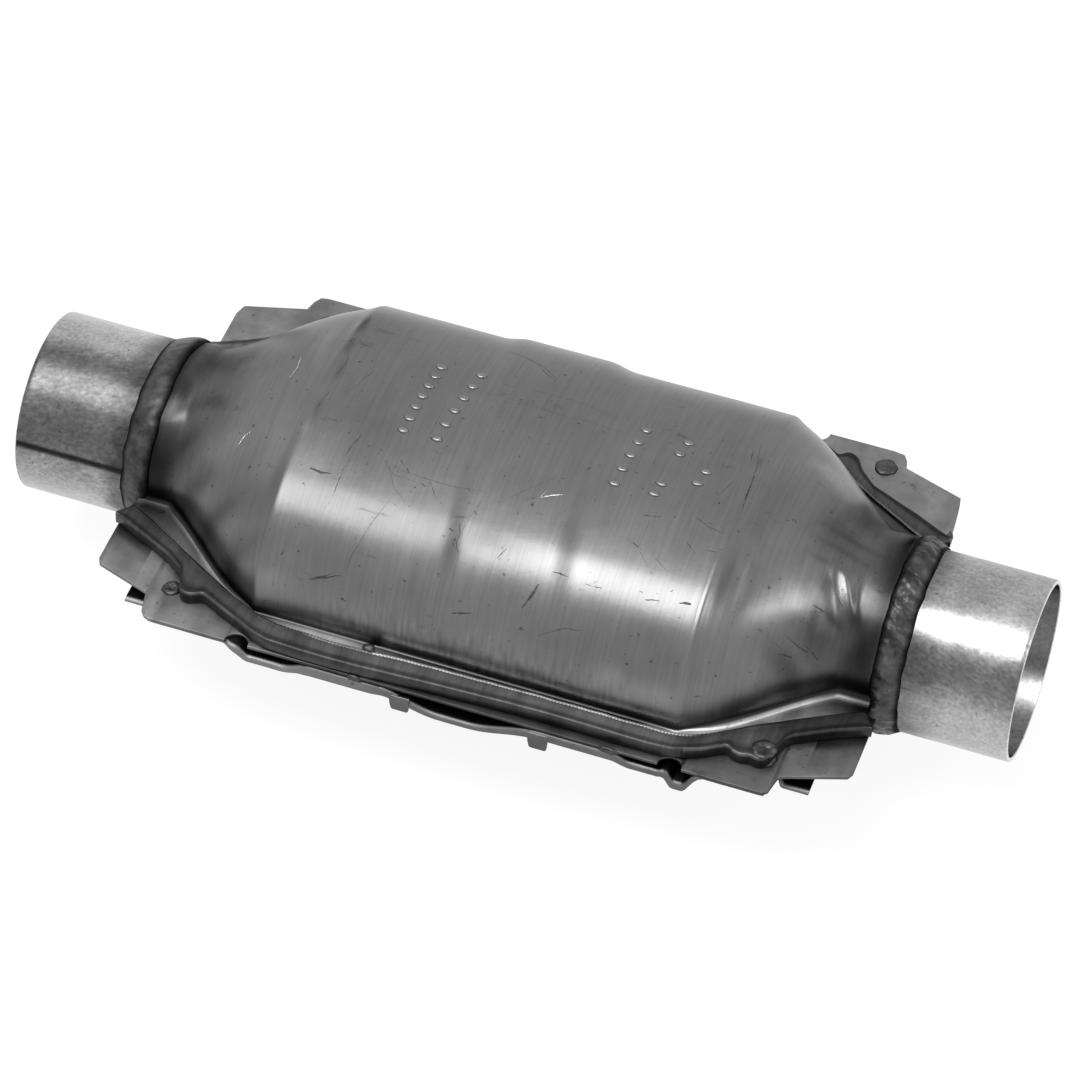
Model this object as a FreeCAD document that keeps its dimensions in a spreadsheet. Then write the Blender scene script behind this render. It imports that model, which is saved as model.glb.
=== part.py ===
import FreeCAD, Part
import math
import os
import Sketcher

from FreeCAD import Placement, Rotation, Vector

# Universal catalytic converter with an oval clamshell body and a heat shield under it.
# X runs from the inlet to the outlet, Y across, Z up. The sheet's heights are measured
# from the pipe axis, and every piece is lifted at the end so that the shield's sole is at z = 0.

doc = FreeCAD.newDocument("catalytic_converter")

sizes = {
    # Pipes: 2.25 inch tube, standard size.
    "pipe_outer": 57.15,
    "pipe_wall": 1.5,
    "overall_length": 322.14,
    "pipe_inner_end": 104.0,
    # Clamshell body, half sections.
    "shell_wall": 1.5,
    "body_inlet_end": 64.0,
    "body_outlet_end": 68.0,
    "body_half_width": 61.5,
    "body_height": 43.5,
    "crown_rise": 3.5,
    "body_side_radius": "=body_height - crown_rise",
    # Cones from the oval body to the round necks. Their two middle sections are stated as
    # shares of the way from the neck to the body.
    "wide_width_share": 0.73,
    "wide_height_share": 0.81,
    "wide_radius_share": 0.74,
    "slim_width_share": 0.345,
    "slim_height_share": 0.4,
    "slim_radius_share": 0.335,
    "neck_start": 108.0,
    "neck_end": 118.5,
    "neck_fit": 0.15,
    # Shallow raised band round the middle of the body.
    "band_middle": 0.0,
    "band_top": 26.0,
    "band_ramp": 9.0,
    "band_rise": 1.6,
    # Flange: the lower shell's edge is hemmed up and over the upper shell's edge.
    "flange_straight": 66.0,
    "flange_reach": 11.8,
    "flange_half_width": "=body_half_width + flange_reach",
    "flange_overhang": 4.0,
    "flange_end": "=neck_end + flange_overhang",
    "flange_end_half_width": 41.0,
    "flange_root_half_width": 32.0,
    "hem_root_half_width": 34.8,
    "hem_gap": 3.0,
    "hem_lead": 2.0,
    "hem_clearance": 0.2,
    "lobe_place": 88.5,
    "lobe_inset": 2.9,
    "lobe_radius": 5.8,
    # Ceramic bricks, the mats round them and the wire-mesh seals at the mats' ends.
    "brick_length": 54.0,
    "brick_gap": 14.0,
    "mat_thickness": 4.0,
    "mat_fit": 0.2,
    "brick_fit": 0.1,
    "seal_length": 6.0,
    # Rails of the heat shield, under the flange.
    "rail_thickness": 1.2,
    "rail_inset": 0.1,
    "rail_half_width": "=flange_half_width - rail_inset",
    "rail_step": 100.8,
    "rail_step_depth": 7.7,
    "rail_end": 121.4,
    "rail_end_depth": 13.9,
    "rail_neck_clearance": 1.5,
    "rail_body_clearance": 1.7,
    "rail_lead": 5.0,
    "rail_corner_radius": 3.0,
    "notch_place": 69.3,
    "notch_radius": 3.8,
    # Pan of the heat shield: it follows the lower shell at a gap and stands on a flat sole.
    "pan_thickness": 1.0,
    "pan_gap": 2.4,
    "pan_lip_width": 1.0,
    "pan_lip_half_width": "=rail_half_width + pan_lip_width",
    "pan_lip_end": 110.0,
    "pan_tab_clearance": 3.0,
    "pan_tab_start": 99.0,
    "pan_tab_drop": 5.0,
    "sole_drop": 2.4,
    "sole_inlet_end": 50.0,
    "sole_outlet_end": 54.0,
    "sole_half_width": 28.0,
    "sole_depth": 9.0,
    "sole_draft": 15.0,
    # Dips in the pan's lip: one wide air vent and a small one beside each outer notch.
    "vent_start": 22.0,
    "vent_low_start": 5.0,
    "vent_low_end": 8.0,
    "vent_end": 31.0,
    "vent_drop": 5.6,
    "relief_outer": 66.0,
    "relief_inner": 54.0,
    "relief_ramp": 4.0,
    "relief_drop": 2.6,
    "lug_inlet_place": 16.5,
    "lug_outlet_place": 28.0,
    "lug_width": 7.0,
    "lug_length": 10.0,
    # Welds.
    "bead_length": 8.6,
    "bead_shoulder": 2.0,
    "bead_crest": 3.6,
    "bead_crest_height": 1.7,
    "weld_gap": 0.05,
    "root_depth": 0.3,
    "root_lead": 0.5,
    "button_place": 97.7,
    "button_clearance": 5.4,
    "button_radius": 3.4,
    "button_height": 0.8,
    "button_draft": 40.0,
    "tack_inlet_place": 31.0,
    "tack_outlet_place": 49.0,
    "tack_length": 8.0,
    "tack_width": "=pan_lip_width",
}

sheet = doc.addObject("Spreadsheet::Sheet", "sizes")
for row, alias in enumerate(sizes, start=1):
    sheet.set(f"A{row}", alias)
    sheet.setAlias(f"B{row}", alias)
for row, value in enumerate(sizes.values(), start=1):
    sheet.set(f"B{row}", str(value))
doc.recompute()


# An expression names the sheet's cells by their aliases alone.
def bound(expression):
    words = sorted(sizes, key=len, reverse=True)
    marked = expression
    for number, word in enumerate(words):
        marked = marked.replace(word, f"<{number}>")
    for number, word in enumerate(words):
        marked = marked.replace(f"<{number}>", f"sizes.{word}")
    return marked


def measure(expression):
    return float(sheet.evalExpression(bound(expression)))


pipe_radius = "(pipe_outer / 2)"
neck_radius = "(pipe_outer / 2 + neck_fit + shell_wall)"
pan_growth = "(pan_gap + pan_thickness)"
axis_height = "(body_height + pan_gap + pan_thickness + sole_drop)"
rail_top = "(-shell_wall)"
lip_top = "(-shell_wall - rail_thickness)"
body_middle = "((body_outlet_end - body_inlet_end) / 2)"
flange_slope = "((flange_half_width - flange_end_half_width) / (flange_end - flange_straight))"
hem_half_width = "(body_half_width + hem_gap)"
rail_step_half_width = "(rail_half_width - rail_step_depth)"
rail_neck_half_width = "(flange_root_half_width + rail_neck_clearance)"
rail_body_half_width = "(body_half_width + rail_body_clearance)"
pan_tab_half_width = f"({rail_step_half_width} - pan_tab_clearance)"


# Half width of the flange's slanted edge at a place along the part.
def flange_edge(place):
    return f"(flange_half_width - ({place} - flange_straight) * {flange_slope})"


# A body for one piece, lifted from the pipe axis to the frame of the whole part.
def new_body(label):
    body = doc.addObject("PartDesign::Body", label)
    body.Label = label
    body.setExpression("Placement.Base.z", bound(axis_height))
    return body


# A sketch on one of the body's origin planes, moved along the plane's normal.
def new_sketch(body, plane, name, offset="0"):
    sketch = body.newObject("Sketcher::SketchObject", name)
    origin_plane = [item for item in body.Origin.OriginFeatures if item.Role == plane]
    sketch.AttachmentSupport = (origin_plane[0], "")
    sketch.MapMode = "FlatFace"
    sketch.AttachmentOffset = Placement(Vector(0, 0, measure(offset)), Rotation())
    sketch.setExpression("AttachmentOffset.Base.z", bound(offset))
    return sketch


def constrain(sketch, kind, *where, value=None):
    if value is None:
        return sketch.addConstraint(Sketcher.Constraint(kind, *where))
    index = sketch.addConstraint(Sketcher.Constraint(kind, *where, measure(value)))
    sketch.setExpression(f"Constraints[{index}]", bound(value))
    return index


# Points of a sketch element, as the sketcher numbers them.
START, END, CENTRE = range(1, 4)
HORIZONTAL_AXIS, VERTICAL_AXIS = range(-1, -3, -1)
ORIGIN = (HORIZONTAL_AXIS, START)


# Closed outline of straight lines; each corner is held by its two coordinates.
def add_polygon(sketch, corners):
    places = [Vector(measure(across), measure(along), 0) for across, along in corners]
    first = sketch.GeometryCount
    count = len(places)
    for number in range(count):
        sketch.addGeometry(Part.LineSegment(places[number], places[(number + 1) % count]))
    for number, (across, along) in enumerate(corners):
        line = first + number
        constrain(sketch, "Coincident", line, END, first + (number + 1) % count, START)
        constrain(sketch, "DistanceX", *ORIGIN, line, START, value=across)
        constrain(sketch, "DistanceY", *ORIGIN, line, START, value=along)


def add_circle(sketch, across, along, radius):
    centre = Vector(measure(across), measure(along), 0)
    circle = sketch.addGeometry(Part.Circle(centre, Vector(0, 0, 1), measure(radius)))
    constrain(sketch, "Radius", circle, value=radius)
    constrain(sketch, "DistanceX", *ORIGIN, circle, CENTRE, value=across)
    constrain(sketch, "DistanceY", *ORIGIN, circle, CENTRE, value=along)


def add_arc(sketch, across, along, radius, start_angle, end_angle):
    circle = Part.Circle(Vector(across, along, 0), Vector(0, 0, 1), radius)
    return sketch.addGeometry(Part.ArcOfCircle(circle, start_angle, end_angle))


# Radius of the crown arc, and the angle at which the side arc hands over to it.
def crown_of(width, height, radius):
    side_centre = width - radius
    crown = (side_centre ** 2 + height ** 2 - radius ** 2) / (2 * (height - radius))
    return crown, math.atan2(crown - height, side_centre)


# Half oval above (side 1) or below (side -1) the pipe axis: two side arcs and a flatter crown.
def half_oval(body, name, place, half_width, height, side_radius, side):
    sketch = new_sketch(body, "YZ_Plane", name, place)
    width, top, radius = measure(half_width), measure(height), measure(side_radius)
    crown, angle = crown_of(width, top, radius)
    centre = width - radius
    if side > 0:
        right = add_arc(sketch, centre, 0, radius, 0, angle)
        arch = add_arc(sketch, 0, top - crown, crown, angle, math.pi - angle)
        left = add_arc(sketch, -centre, 0, radius, math.pi - angle, math.pi)
        chain = [(right, START, END), (arch, START, END), (left, START, END)]
    else:
        right = add_arc(sketch, centre, 0, radius, -angle, 0)
        arch = add_arc(sketch, 0, crown - top, crown, math.pi + angle, 2 * math.pi - angle)
        left = add_arc(sketch, -centre, 0, radius, math.pi, math.pi + angle)
        chain = [(right, END, START), (arch, END, START), (left, END, START)]
    floor = sketch.addGeometry(Part.LineSegment(Vector(-width, 0, 0), Vector(width, 0, 0)))
    peak = sketch.addGeometry(Part.Point(Vector(0, side * top, 0)), True)
    constrain(sketch, "Tangent", right, chain[0][2], arch, chain[1][1])
    constrain(sketch, "Tangent", arch, chain[1][2], left, chain[2][1])
    constrain(sketch, "Coincident", left, chain[2][2], floor, START)
    constrain(sketch, "Coincident", right, chain[0][1], floor, END)
    constrain(sketch, "PointOnObject", right, CENTRE, HORIZONTAL_AXIS)
    constrain(sketch, "PointOnObject", left, CENTRE, HORIZONTAL_AXIS)
    constrain(sketch, "PointOnObject", floor, START, HORIZONTAL_AXIS)
    constrain(sketch, "PointOnObject", floor, END, HORIZONTAL_AXIS)
    constrain(sketch, "PointOnObject", peak, START, VERTICAL_AXIS)
    constrain(sketch, "PointOnObject", peak, START, arch)
    constrain(sketch, "Equal", right, left)
    constrain(sketch, "Radius", right, value=side_radius)
    constrain(sketch, "DistanceX", *ORIGIN, floor, END, value=half_width)
    constrain(sketch, "DistanceX", *ORIGIN, floor, START, value=f"-({half_width})")
    constrain(sketch, "DistanceY", *ORIGIN, peak, START, value=f"{side} * ({height})")
    return sketch


# Half round in three arcs, so that it lofts arc to arc with the half ovals.
def half_round(body, name, place, radius, side):
    sketch = new_sketch(body, "YZ_Plane", name, place)
    size = measure(radius)
    turn = math.pi / 3
    base = 0 if side > 0 else math.pi
    arcs = [add_arc(sketch, 0, 0, size, base + turn * step, base + turn * (step + 1)) for step in range(3)]
    ends = [Vector(side * size, 0, 0), Vector(-side * size, 0, 0)]
    floor = sketch.addGeometry(Part.LineSegment(ends[1], ends[0]))
    for arc in arcs:
        constrain(sketch, "Coincident", arc, CENTRE, *ORIGIN)
    constrain(sketch, "Radius", arcs[0], value=radius)
    constrain(sketch, "Coincident", arcs[0], END, arcs[1], START)
    constrain(sketch, "Coincident", arcs[1], END, arcs[2], START)
    constrain(sketch, "Coincident", arcs[2], END, floor, START)
    constrain(sketch, "Coincident", arcs[0], START, floor, END)
    constrain(sketch, "PointOnObject", floor, START, HORIZONTAL_AXIS)
    constrain(sketch, "PointOnObject", floor, END, HORIZONTAL_AXIS)
    constrain(sketch, "DistanceX", *ORIGIN, arcs[0], END, value=f"{side} * ({radius}) / 2")
    constrain(sketch, "DistanceX", *ORIGIN, arcs[1], END, value=f"-{side} * ({radius}) / 2")
    return sketch


# Whole oval about the pipe axis.
def add_oval(sketch, half_width, height, side_radius):
    width, top, radius = measure(half_width), measure(height), measure(side_radius)
    crown, angle = crown_of(width, top, radius)
    centre = width - radius
    right = add_arc(sketch, centre, 0, radius, -angle, angle)
    arch = add_arc(sketch, 0, top - crown, crown, angle, math.pi - angle)
    left = add_arc(sketch, -centre, 0, radius, math.pi - angle, math.pi + angle)
    bowl = add_arc(sketch, 0, crown - top, crown, math.pi + angle, 2 * math.pi - angle)
    peak = sketch.addGeometry(Part.Point(Vector(0, top, 0)), True)
    for arc, following in ((right, arch), (arch, left), (left, bowl), (bowl, right)):
        constrain(sketch, "Tangent", arc, END, following, START)
    constrain(sketch, "PointOnObject", right, CENTRE, HORIZONTAL_AXIS)
    constrain(sketch, "PointOnObject", left, CENTRE, HORIZONTAL_AXIS)
    constrain(sketch, "PointOnObject", peak, START, VERTICAL_AXIS)
    constrain(sketch, "PointOnObject", peak, START, arch)
    constrain(sketch, "Equal", right, left)
    constrain(sketch, "Equal", arch, bowl)
    constrain(sketch, "Radius", right, value=side_radius)
    constrain(sketch, "DistanceX", *ORIGIN, right, CENTRE, value=f"({half_width}) - ({side_radius})")
    constrain(sketch, "DistanceX", *ORIGIN, left, CENTRE, value=f"({side_radius}) - ({half_width})")
    constrain(sketch, "DistanceY", *ORIGIN, peak, START, value=height)


def pad(body, name, sketch, length, cut=False, reverse=False, both=False):
    kind = "PartDesign::Pocket" if cut else "PartDesign::Pad"
    feature = body.newObject(kind, name)
    feature.Profile = sketch
    feature.setExpression("Length", bound(length))
    feature.Reversed = reverse
    if both:
        feature.Midplane = True
    body.Tip = feature
    return feature


def loft(body, name, sketches, cut=False, ruled=False):
    kind = "PartDesign::SubtractiveLoft" if cut else "PartDesign::AdditiveLoft"
    feature = body.newObject(kind, name)
    feature.Profile = sketches[0]
    feature.Sections = sketches[1:]
    feature.Ruled = ruled
    body.Tip = feature
    return feature


# Half form of the body with its cones and necks, grown outwards by growth (or inwards, negative).
def add_form(body, name, side, growth, cut, collared=True):
    def oval(tag, place, half_width, height, side_radius, rise="0"):
        return half_oval(
            body, f"{name}_{tag}", place, f"({half_width} + {growth})",
            f"({height} + {growth} + {rise})", f"({side_radius} + {growth})", side)

    body_size = ("body_half_width", "body_height", "body_side_radius")
    wide_size, slim_size = [
        tuple(f"({neck_radius} + {tag}_{part}_share * ({size} - {neck_radius}))"
              for part, size in zip(("width", "height", "radius"), body_size))
        for tag in ("wide", "slim")]
    inlet_crease = oval("inlet_crease", "-body_inlet_end", *body_size)
    outlet_crease = oval("outlet_crease", "body_outlet_end", *body_size)
    middle = []
    for tag, place, rise in (
            ("band_foot_inlet", "(band_middle - band_top / 2 - band_ramp)", "0"),
            ("band_top_inlet", "(band_middle - band_top / 2)", "band_rise"),
            ("band_top_outlet", "(band_middle + band_top / 2)", "band_rise"),
            ("band_foot_outlet", "(band_middle + band_top / 2 + band_ramp)", "0")):
        middle.append(oval(tag, place, *body_size, rise=rise))
    loft(body, f"{name}_body", [inlet_crease] + middle + [outlet_crease], cut, ruled=True)
    for tag, way, crease_place, crease in (
            ("inlet", -1, "body_inlet_end", inlet_crease), ("outlet", 1, "body_outlet_end", outlet_crease)):
        third = f"(neck_start - {crease_place}) / 3"
        wide = oval(f"{tag}_wide", f"{way} * ({crease_place} + {third})", *wide_size)
        slim = oval(f"{tag}_slim", f"{way} * ({crease_place} + 2 * {third})", *slim_size)
        neck_size = f"({neck_radius} + {growth})"
        neck = half_round(body, f"{name}_{tag}_neck", f"{way} * neck_start", neck_size, side)
        loft(body, f"{name}_{tag}_cone", [crease, wide, slim, neck], cut)
        if collared:
            pad(body, f"{name}_{tag}_collar", neck, "neck_end - neck_start", cut, reverse=(way < 0) != cut)


# Plan outline of the flange on both sides, drawn in by a share of the wall.
def flange_corners(inset):
    across = f"(flange_half_width - {inset})"
    at_end = f"(flange_end_half_width - {inset})"
    quarter = [
        ("neck_end", "flange_root_half_width"), ("flange_end", at_end), ("flange_straight", across)]
    corners = list(quarter)
    corners += [(f"-{x}", y) for x, y in reversed(quarter)]
    corners += [(f"-{x}", f"-{y}") for x, y in quarter]
    corners += [(x, f"-{y}") for x, y in reversed(quarter)]
    return corners


def make_upper_shell():
    body = new_body("upper_shell")
    add_form(body, "upper", 1, "0", False)
    flange = new_sketch(body, "XY_Plane", "upper_flange_outline")
    add_polygon(flange, flange_corners("(shell_wall + hem_clearance)"))
    pad(body, "upper_flange", flange, "shell_wall")
    add_form(body, "upper_inside", 1, "(-shell_wall)", True)
    return body


def make_lower_shell():
    body = new_body("lower_shell")
    add_form(body, "lower", -1, "0", False)
    flange = new_sketch(body, "XY_Plane", "lower_flange_outline")
    add_polygon(flange, flange_corners("0"))
    pad(body, "lower_flange", flange, "shell_wall", reverse=True)
    add_form(body, "lower_inside", -1, "(-shell_wall)", True)
    hem = new_sketch(body, "XY_Plane", "hem_outline")
    for along in ("", "-"):
        edge = [
            ("neck_end", "hem_root_half_width"), ("flange_end", "flange_end_half_width"),
            ("flange_straight", "flange_half_width")]
        edge += [(f"-{x}", y) for x, y in reversed(edge)]
        edge += [("-(body_inlet_end + hem_lead)", hem_half_width),
                 ("(body_outlet_end + hem_lead)", hem_half_width)]
        add_polygon(hem, [(x, f"{along}{y}") for x, y in edge])
    pad(body, "hem", hem, "2 * shell_wall")
    lobes = new_sketch(body, "XY_Plane", "lobe_outline", "(-shell_wall)")
    for across in ("lobe_place", "-lobe_place"):
        for side in ("", "-"):
            add_circle(lobes, across, f"{side}({flange_edge('lobe_place')} - lobe_inset)", "lobe_radius")
    pad(body, "lobes", lobes, "3 * shell_wall")
    slot = new_sketch(body, "XY_Plane", "hem_slot_outline")
    add_polygon(slot, flange_corners("shell_wall"))
    pad(body, "hem_slot", slot, "shell_wall", cut=True, reverse=True)
    return body


# Tube whose outer face fits the neck's bore and whose inner end lies inside the cone.
# The weld has bitten a shallow groove into it beside the neck.
def make_pipe(label, way):
    body = new_body(label)
    ring = new_sketch(body, "YZ_Plane", f"{label}_ring", f"{way} * overall_length / 2")
    add_circle(ring, "0", "0", pipe_radius)
    add_circle(ring, "0", "0", f"({pipe_radius} - pipe_wall)")
    pad(body, f"{label}_tube", ring, "overall_length / 2 - pipe_inner_end", reverse=way > 0)
    groove = new_sketch(body, "YZ_Plane", f"{label}_groove", f"{way} * (neck_end + bead_length + root_lead)")
    add_circle(groove, "0", "0", f"({pipe_radius} + pipe_wall)")
    add_circle(groove, "0", "0", f"({pipe_radius} - root_depth)")
    pad(body, f"{label}_grooved", groove, "bead_length + root_lead", cut=True, reverse=way < 0)
    return body


# Fillet weld between the neck's end face and the pipe, turned round the pipe axis.
def make_bead(label, way):
    body = new_body(label)
    sketch = new_sketch(body, "XZ_Plane", f"{label}_section")
    root = f"({pipe_radius} + weld_gap)"
    face = f"({way} * (neck_end + weld_gap))"
    add_polygon(sketch, [
        (face, root), (f"({way} * (neck_end + bead_length))", root),
        (f"({way} * (neck_end + bead_crest))", f"({root} + bead_crest_height)"),
        (face, f"({root} + bead_shoulder)")])
    turned = body.newObject("PartDesign::Revolution", f"{label}_turned")
    turned.Profile = sketch
    turned.ReferenceAxis = (sketch, ["H_Axis"])
    turned.Angle = 360
    body.Tip = turned
    return body


# Size of an oval that follows the body at a given growth.
def body_oval(growth):
    return (
        f"(body_half_width + {growth})", f"(body_height + {growth})", f"(body_side_radius + {growth})")


mat_outer = "(-shell_wall - mat_fit)"
mat_inner = "(-shell_wall - mat_fit - mat_thickness)"
brick_outer = "(-shell_wall - mat_fit - mat_thickness - brick_fit)"


# Where a brick starts and ends; way is -1 for the inlet brick and 1 for the outlet brick.
def brick_start(way):
    if way < 0:
        return f"({body_middle} - brick_gap / 2 - brick_length)"
    return f"({body_middle} + brick_gap / 2)"


def make_brick(label, way):
    body = new_body(label)
    outline = new_sketch(body, "YZ_Plane", f"{label}_outline", brick_start(way))
    add_oval(outline, *body_oval(brick_outer))
    pad(body, f"{label}_block", outline, "brick_length")
    return body


# Oval sleeve between the brick and the shell: the mat, or a seal at one of its ends.
def make_sleeve(label, start, length):
    body = new_body(label)
    outline = new_sketch(body, "YZ_Plane", f"{label}_outline", start)
    add_oval(outline, *body_oval(mat_outer))
    add_oval(outline, *body_oval(mat_inner))
    pad(body, f"{label}_sleeve", outline, length)
    return body


def make_packing(side_name, way):
    start = brick_start(way)
    first, last = ("outer", "inner") if way < 0 else ("inner", "outer")
    return [
        make_sleeve(f"{side_name}_{first}_seal", start, "seal_length"),
        make_sleeve(f"{side_name}_mat", f"({start} + seal_length)", "brick_length - 2 * seal_length"),
        make_sleeve(f"{side_name}_{last}_seal", f"({start} + brick_length - seal_length)", "seal_length")]


# Names of a feature's upright edges that stand at the given places in plan.
def upright_edges(feature, places):
    found = []
    for number, edge in enumerate(feature.Shape.Edges, start=1):
        ends = [vertex.Point for vertex in edge.Vertexes]
        if len(ends) == 2 and abs(ends[0].x - ends[1].x) + abs(ends[0].y - ends[1].y) < 1e-4:
            near = [math.hypot(ends[0].x - across, ends[0].y - along) for across, along in places]
            if min(near) < 1e-3:
                found.append(f"Edge{number}")
    return found


# Flat stamped rail under one side of the flange, with stepped corners and two round notches.
def make_rail(label, side):
    body = new_body(label)
    outline = new_sketch(body, "XY_Plane", f"{label}_outline", rail_top)
    half = [
        ("rail_end", rail_neck_half_width), ("rail_end", "(rail_half_width - rail_end_depth)"),
        ("rail_step", rail_step_half_width), ("rail_step", "rail_half_width")]
    corners = half + [(f"-{x}", y) for x, y in reversed(half)]
    corners += [("-neck_start", rail_neck_half_width),
                ("-(body_inlet_end + rail_lead)", rail_body_half_width),
                ("(body_outlet_end + rail_lead)", rail_body_half_width),
                ("neck_start", rail_neck_half_width)]
    add_polygon(outline, [(x, f"{side} * {y}") for x, y in corners])
    pad(body, f"{label}_plate", outline, "rail_thickness", reverse=True)
    notches = new_sketch(body, "XY_Plane", f"{label}_notches", rail_top)
    add_circle(notches, "notch_place", f"{side} * rail_half_width", "notch_radius")
    add_circle(notches, "-notch_place", f"{side} * rail_half_width", "notch_radius")
    notched = pad(body, f"{label}_notched", notches, "rail_thickness", cut=True)
    doc.recompute()
    rounded = []
    for way in (1, -1):
        for across, along in half[1:]:
            rounded.append((way * measure(across), side * measure(along)))
    fillet = body.newObject("PartDesign::Fillet", f"{label}_rounded")
    fillet.Base = (notched, upright_edges(notched, rounded))
    fillet.setExpression("Radius", bound("rail_corner_radius"))
    body.Tip = fillet
    return body


# Top line of the pan's lip from the inlet end to the outlet end, with its dips.
def lip_line(thickness):
    flush = f"({lip_top} - {thickness})"
    tab = f"({lip_top} - pan_tab_drop - {thickness})"
    relief = f"({lip_top} - relief_drop - {thickness})"
    vent = f"({lip_top} - vent_drop - {thickness})"
    outer = [
        ("pan_lip_end", tab), ("(pan_tab_start + 2 * pan_thickness)", tab), ("pan_tab_start", flush),
        ("relief_outer", flush), ("(relief_outer - relief_ramp)", relief),
        ("(relief_inner + relief_ramp)", relief), ("relief_inner", flush)]
    line = [(f"-{across}", height) for across, height in outer]
    line += [("-vent_start", flush), ("-vent_low_start", vent), ("vent_low_end", vent), ("vent_end", flush)]
    return line + outer[::-1]


# Pan under the lower shell: bowl with cones, flat sole, dipped lip, corner tabs and edge lugs.
def make_pan():
    body = new_body("shield_pan")
    add_form(body, "pan", -1, pan_growth, False, collared=False)
    sole = new_sketch(body, "XY_Plane", "sole_outline", f"(-{axis_height})")
    ends = [("-sole_inlet_end", "-sole_half_width"), ("sole_outlet_end", "-sole_half_width"),
            ("sole_outlet_end", "sole_half_width"), ("-sole_inlet_end", "sole_half_width")]
    add_polygon(sole, ends)
    sole_pad = pad(body, "sole", sole, "sole_depth")
    sole_pad.setExpression("TaperAngle", bound("sole_draft"))
    lip = new_sketch(body, "XZ_Plane", "lip_section")
    add_polygon(lip, lip_line("0") + lip_line("pan_thickness")[::-1])
    pad(body, "lip", lip, "2 * pan_lip_half_width", both=True)
    for side in (1, -1):
        for tag, place in (("inlet", "-lug_inlet_place"), ("outlet", "lug_outlet_place")):
            name = f"lug_{tag}_{'left' if side > 0 else 'right'}"
            lug = new_sketch(body, "XZ_Plane", f"{name}_outline", f"({-side} * pan_lip_half_width)")
            low, high = f"({lip_top} - lug_length)", f"({lip_top} - pan_thickness / 2)"
            start, end = f"({place} - lug_width / 2)", f"({place} + lug_width / 2)"
            add_polygon(lug, [(start, low), (end, low), (end, high), (start, high)])
            pad(body, name, lug, "pan_thickness", reverse=side < 0)
    add_form(body, "pan_inside", -1, "pan_gap", True)
    hollow = new_sketch(body, "XY_Plane", "sole_hollow_outline", f"(pan_thickness - {axis_height})")
    inner = [("(pan_thickness - sole_inlet_end)", "(pan_thickness - sole_half_width)"),
             ("(sole_outlet_end - pan_thickness)", "(pan_thickness - sole_half_width)"),
             ("(sole_outlet_end - pan_thickness)", "(sole_half_width - pan_thickness)"),
             ("(pan_thickness - sole_inlet_end)", "(sole_half_width - pan_thickness)")]
    add_polygon(hollow, inner)
    hollow_cut = pad(body, "sole_hollow", hollow, "sole_depth", cut=True, reverse=True)
    hollow_cut.setExpression("TaperAngle", bound("sole_draft"))
    above = new_sketch(body, "XZ_Plane", "above_lip")
    add_polygon(above, lip_line("0") + [("pan_lip_end", "shell_wall"), ("-pan_lip_end", "shell_wall")])
    pad(body, "trimmed_above", above, "2 * pan_lip_half_width + 2 * pan_thickness", cut=True, both=True)
    corners = new_sketch(body, "XY_Plane", "corner_outline")
    for way in ("", "-"):
        for side in ("", "-"):
            start, end = f"{way}pan_tab_start", f"{way}(pan_lip_end + pan_thickness)"
            low, high = f"{side}{pan_tab_half_width}", f"{side}(pan_lip_half_width + pan_thickness)"
            add_polygon(corners, [(start, low), (end, low), (end, high), (start, high)])
    pad(body, "trimmed_corners", corners, axis_height, cut=True)
    notches = new_sketch(body, "XY_Plane", "pan_notches")
    for across in ("notch_place", "-notch_place"):
        for along in ("rail_half_width", "-rail_half_width"):
            add_circle(notches, across, along, "notch_radius")
    pad(body, "trimmed_notches", notches, axis_height, cut=True)
    return body


# Low weld buttons beside the flange's lobes, where the rails are welded to the pan's lip.
def make_buttons():
    body = new_body("corner_weld_buttons")
    rounds = new_sketch(body, "XY_Plane", "button_outlines", rail_top)
    for across in ("button_place", "-button_place"):
        for side in ("", "-"):
            along = f"{side}({flange_edge('button_place')} + button_clearance)"
            add_circle(rounds, across, along, "button_radius")
    buttons = pad(body, "buttons", rounds, "button_height")
    buttons.setExpression("TaperAngle", f"-({bound('button_draft')})")
    return body


# Edge tacks that hold the rails to the pan's lip.
def make_tacks():
    body = new_body("edge_tack_welds")
    outlines = new_sketch(body, "XY_Plane", "tack_outlines", f"({rail_top} - weld_gap)")
    for place in ("-tack_inlet_place", "tack_outlet_place"):
        for side in ("", "-"):
            start, end = f"({place} - tack_length / 2)", f"({place} + tack_length / 2)"
            low, high = f"{side}(rail_half_width + weld_gap)", f"{side}(rail_half_width + tack_width)"
            add_polygon(outlines, [(start, low), (end, low), (end, high), (start, high)])
    tacks = pad(body, "tacks", outlines, "rail_thickness - 2 * weld_gap", reverse=True)
    return body


pieces = [make_upper_shell(), make_lower_shell()]
pieces += [make_pipe("inlet_pipe", -1), make_pipe("outlet_pipe", 1)]
pieces += [make_bead("inlet_weld", -1), make_bead("outlet_weld", 1)]
pieces += [make_brick("inlet_brick", -1), make_brick("outlet_brick", 1)]
pieces += make_packing("inlet", -1) + make_packing("outlet", 1)
pieces += [make_rail("left_shield_rail", 1), make_rail("right_shield_rail", -1), make_pan()]
pieces += [make_buttons(), make_tacks()]

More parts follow.
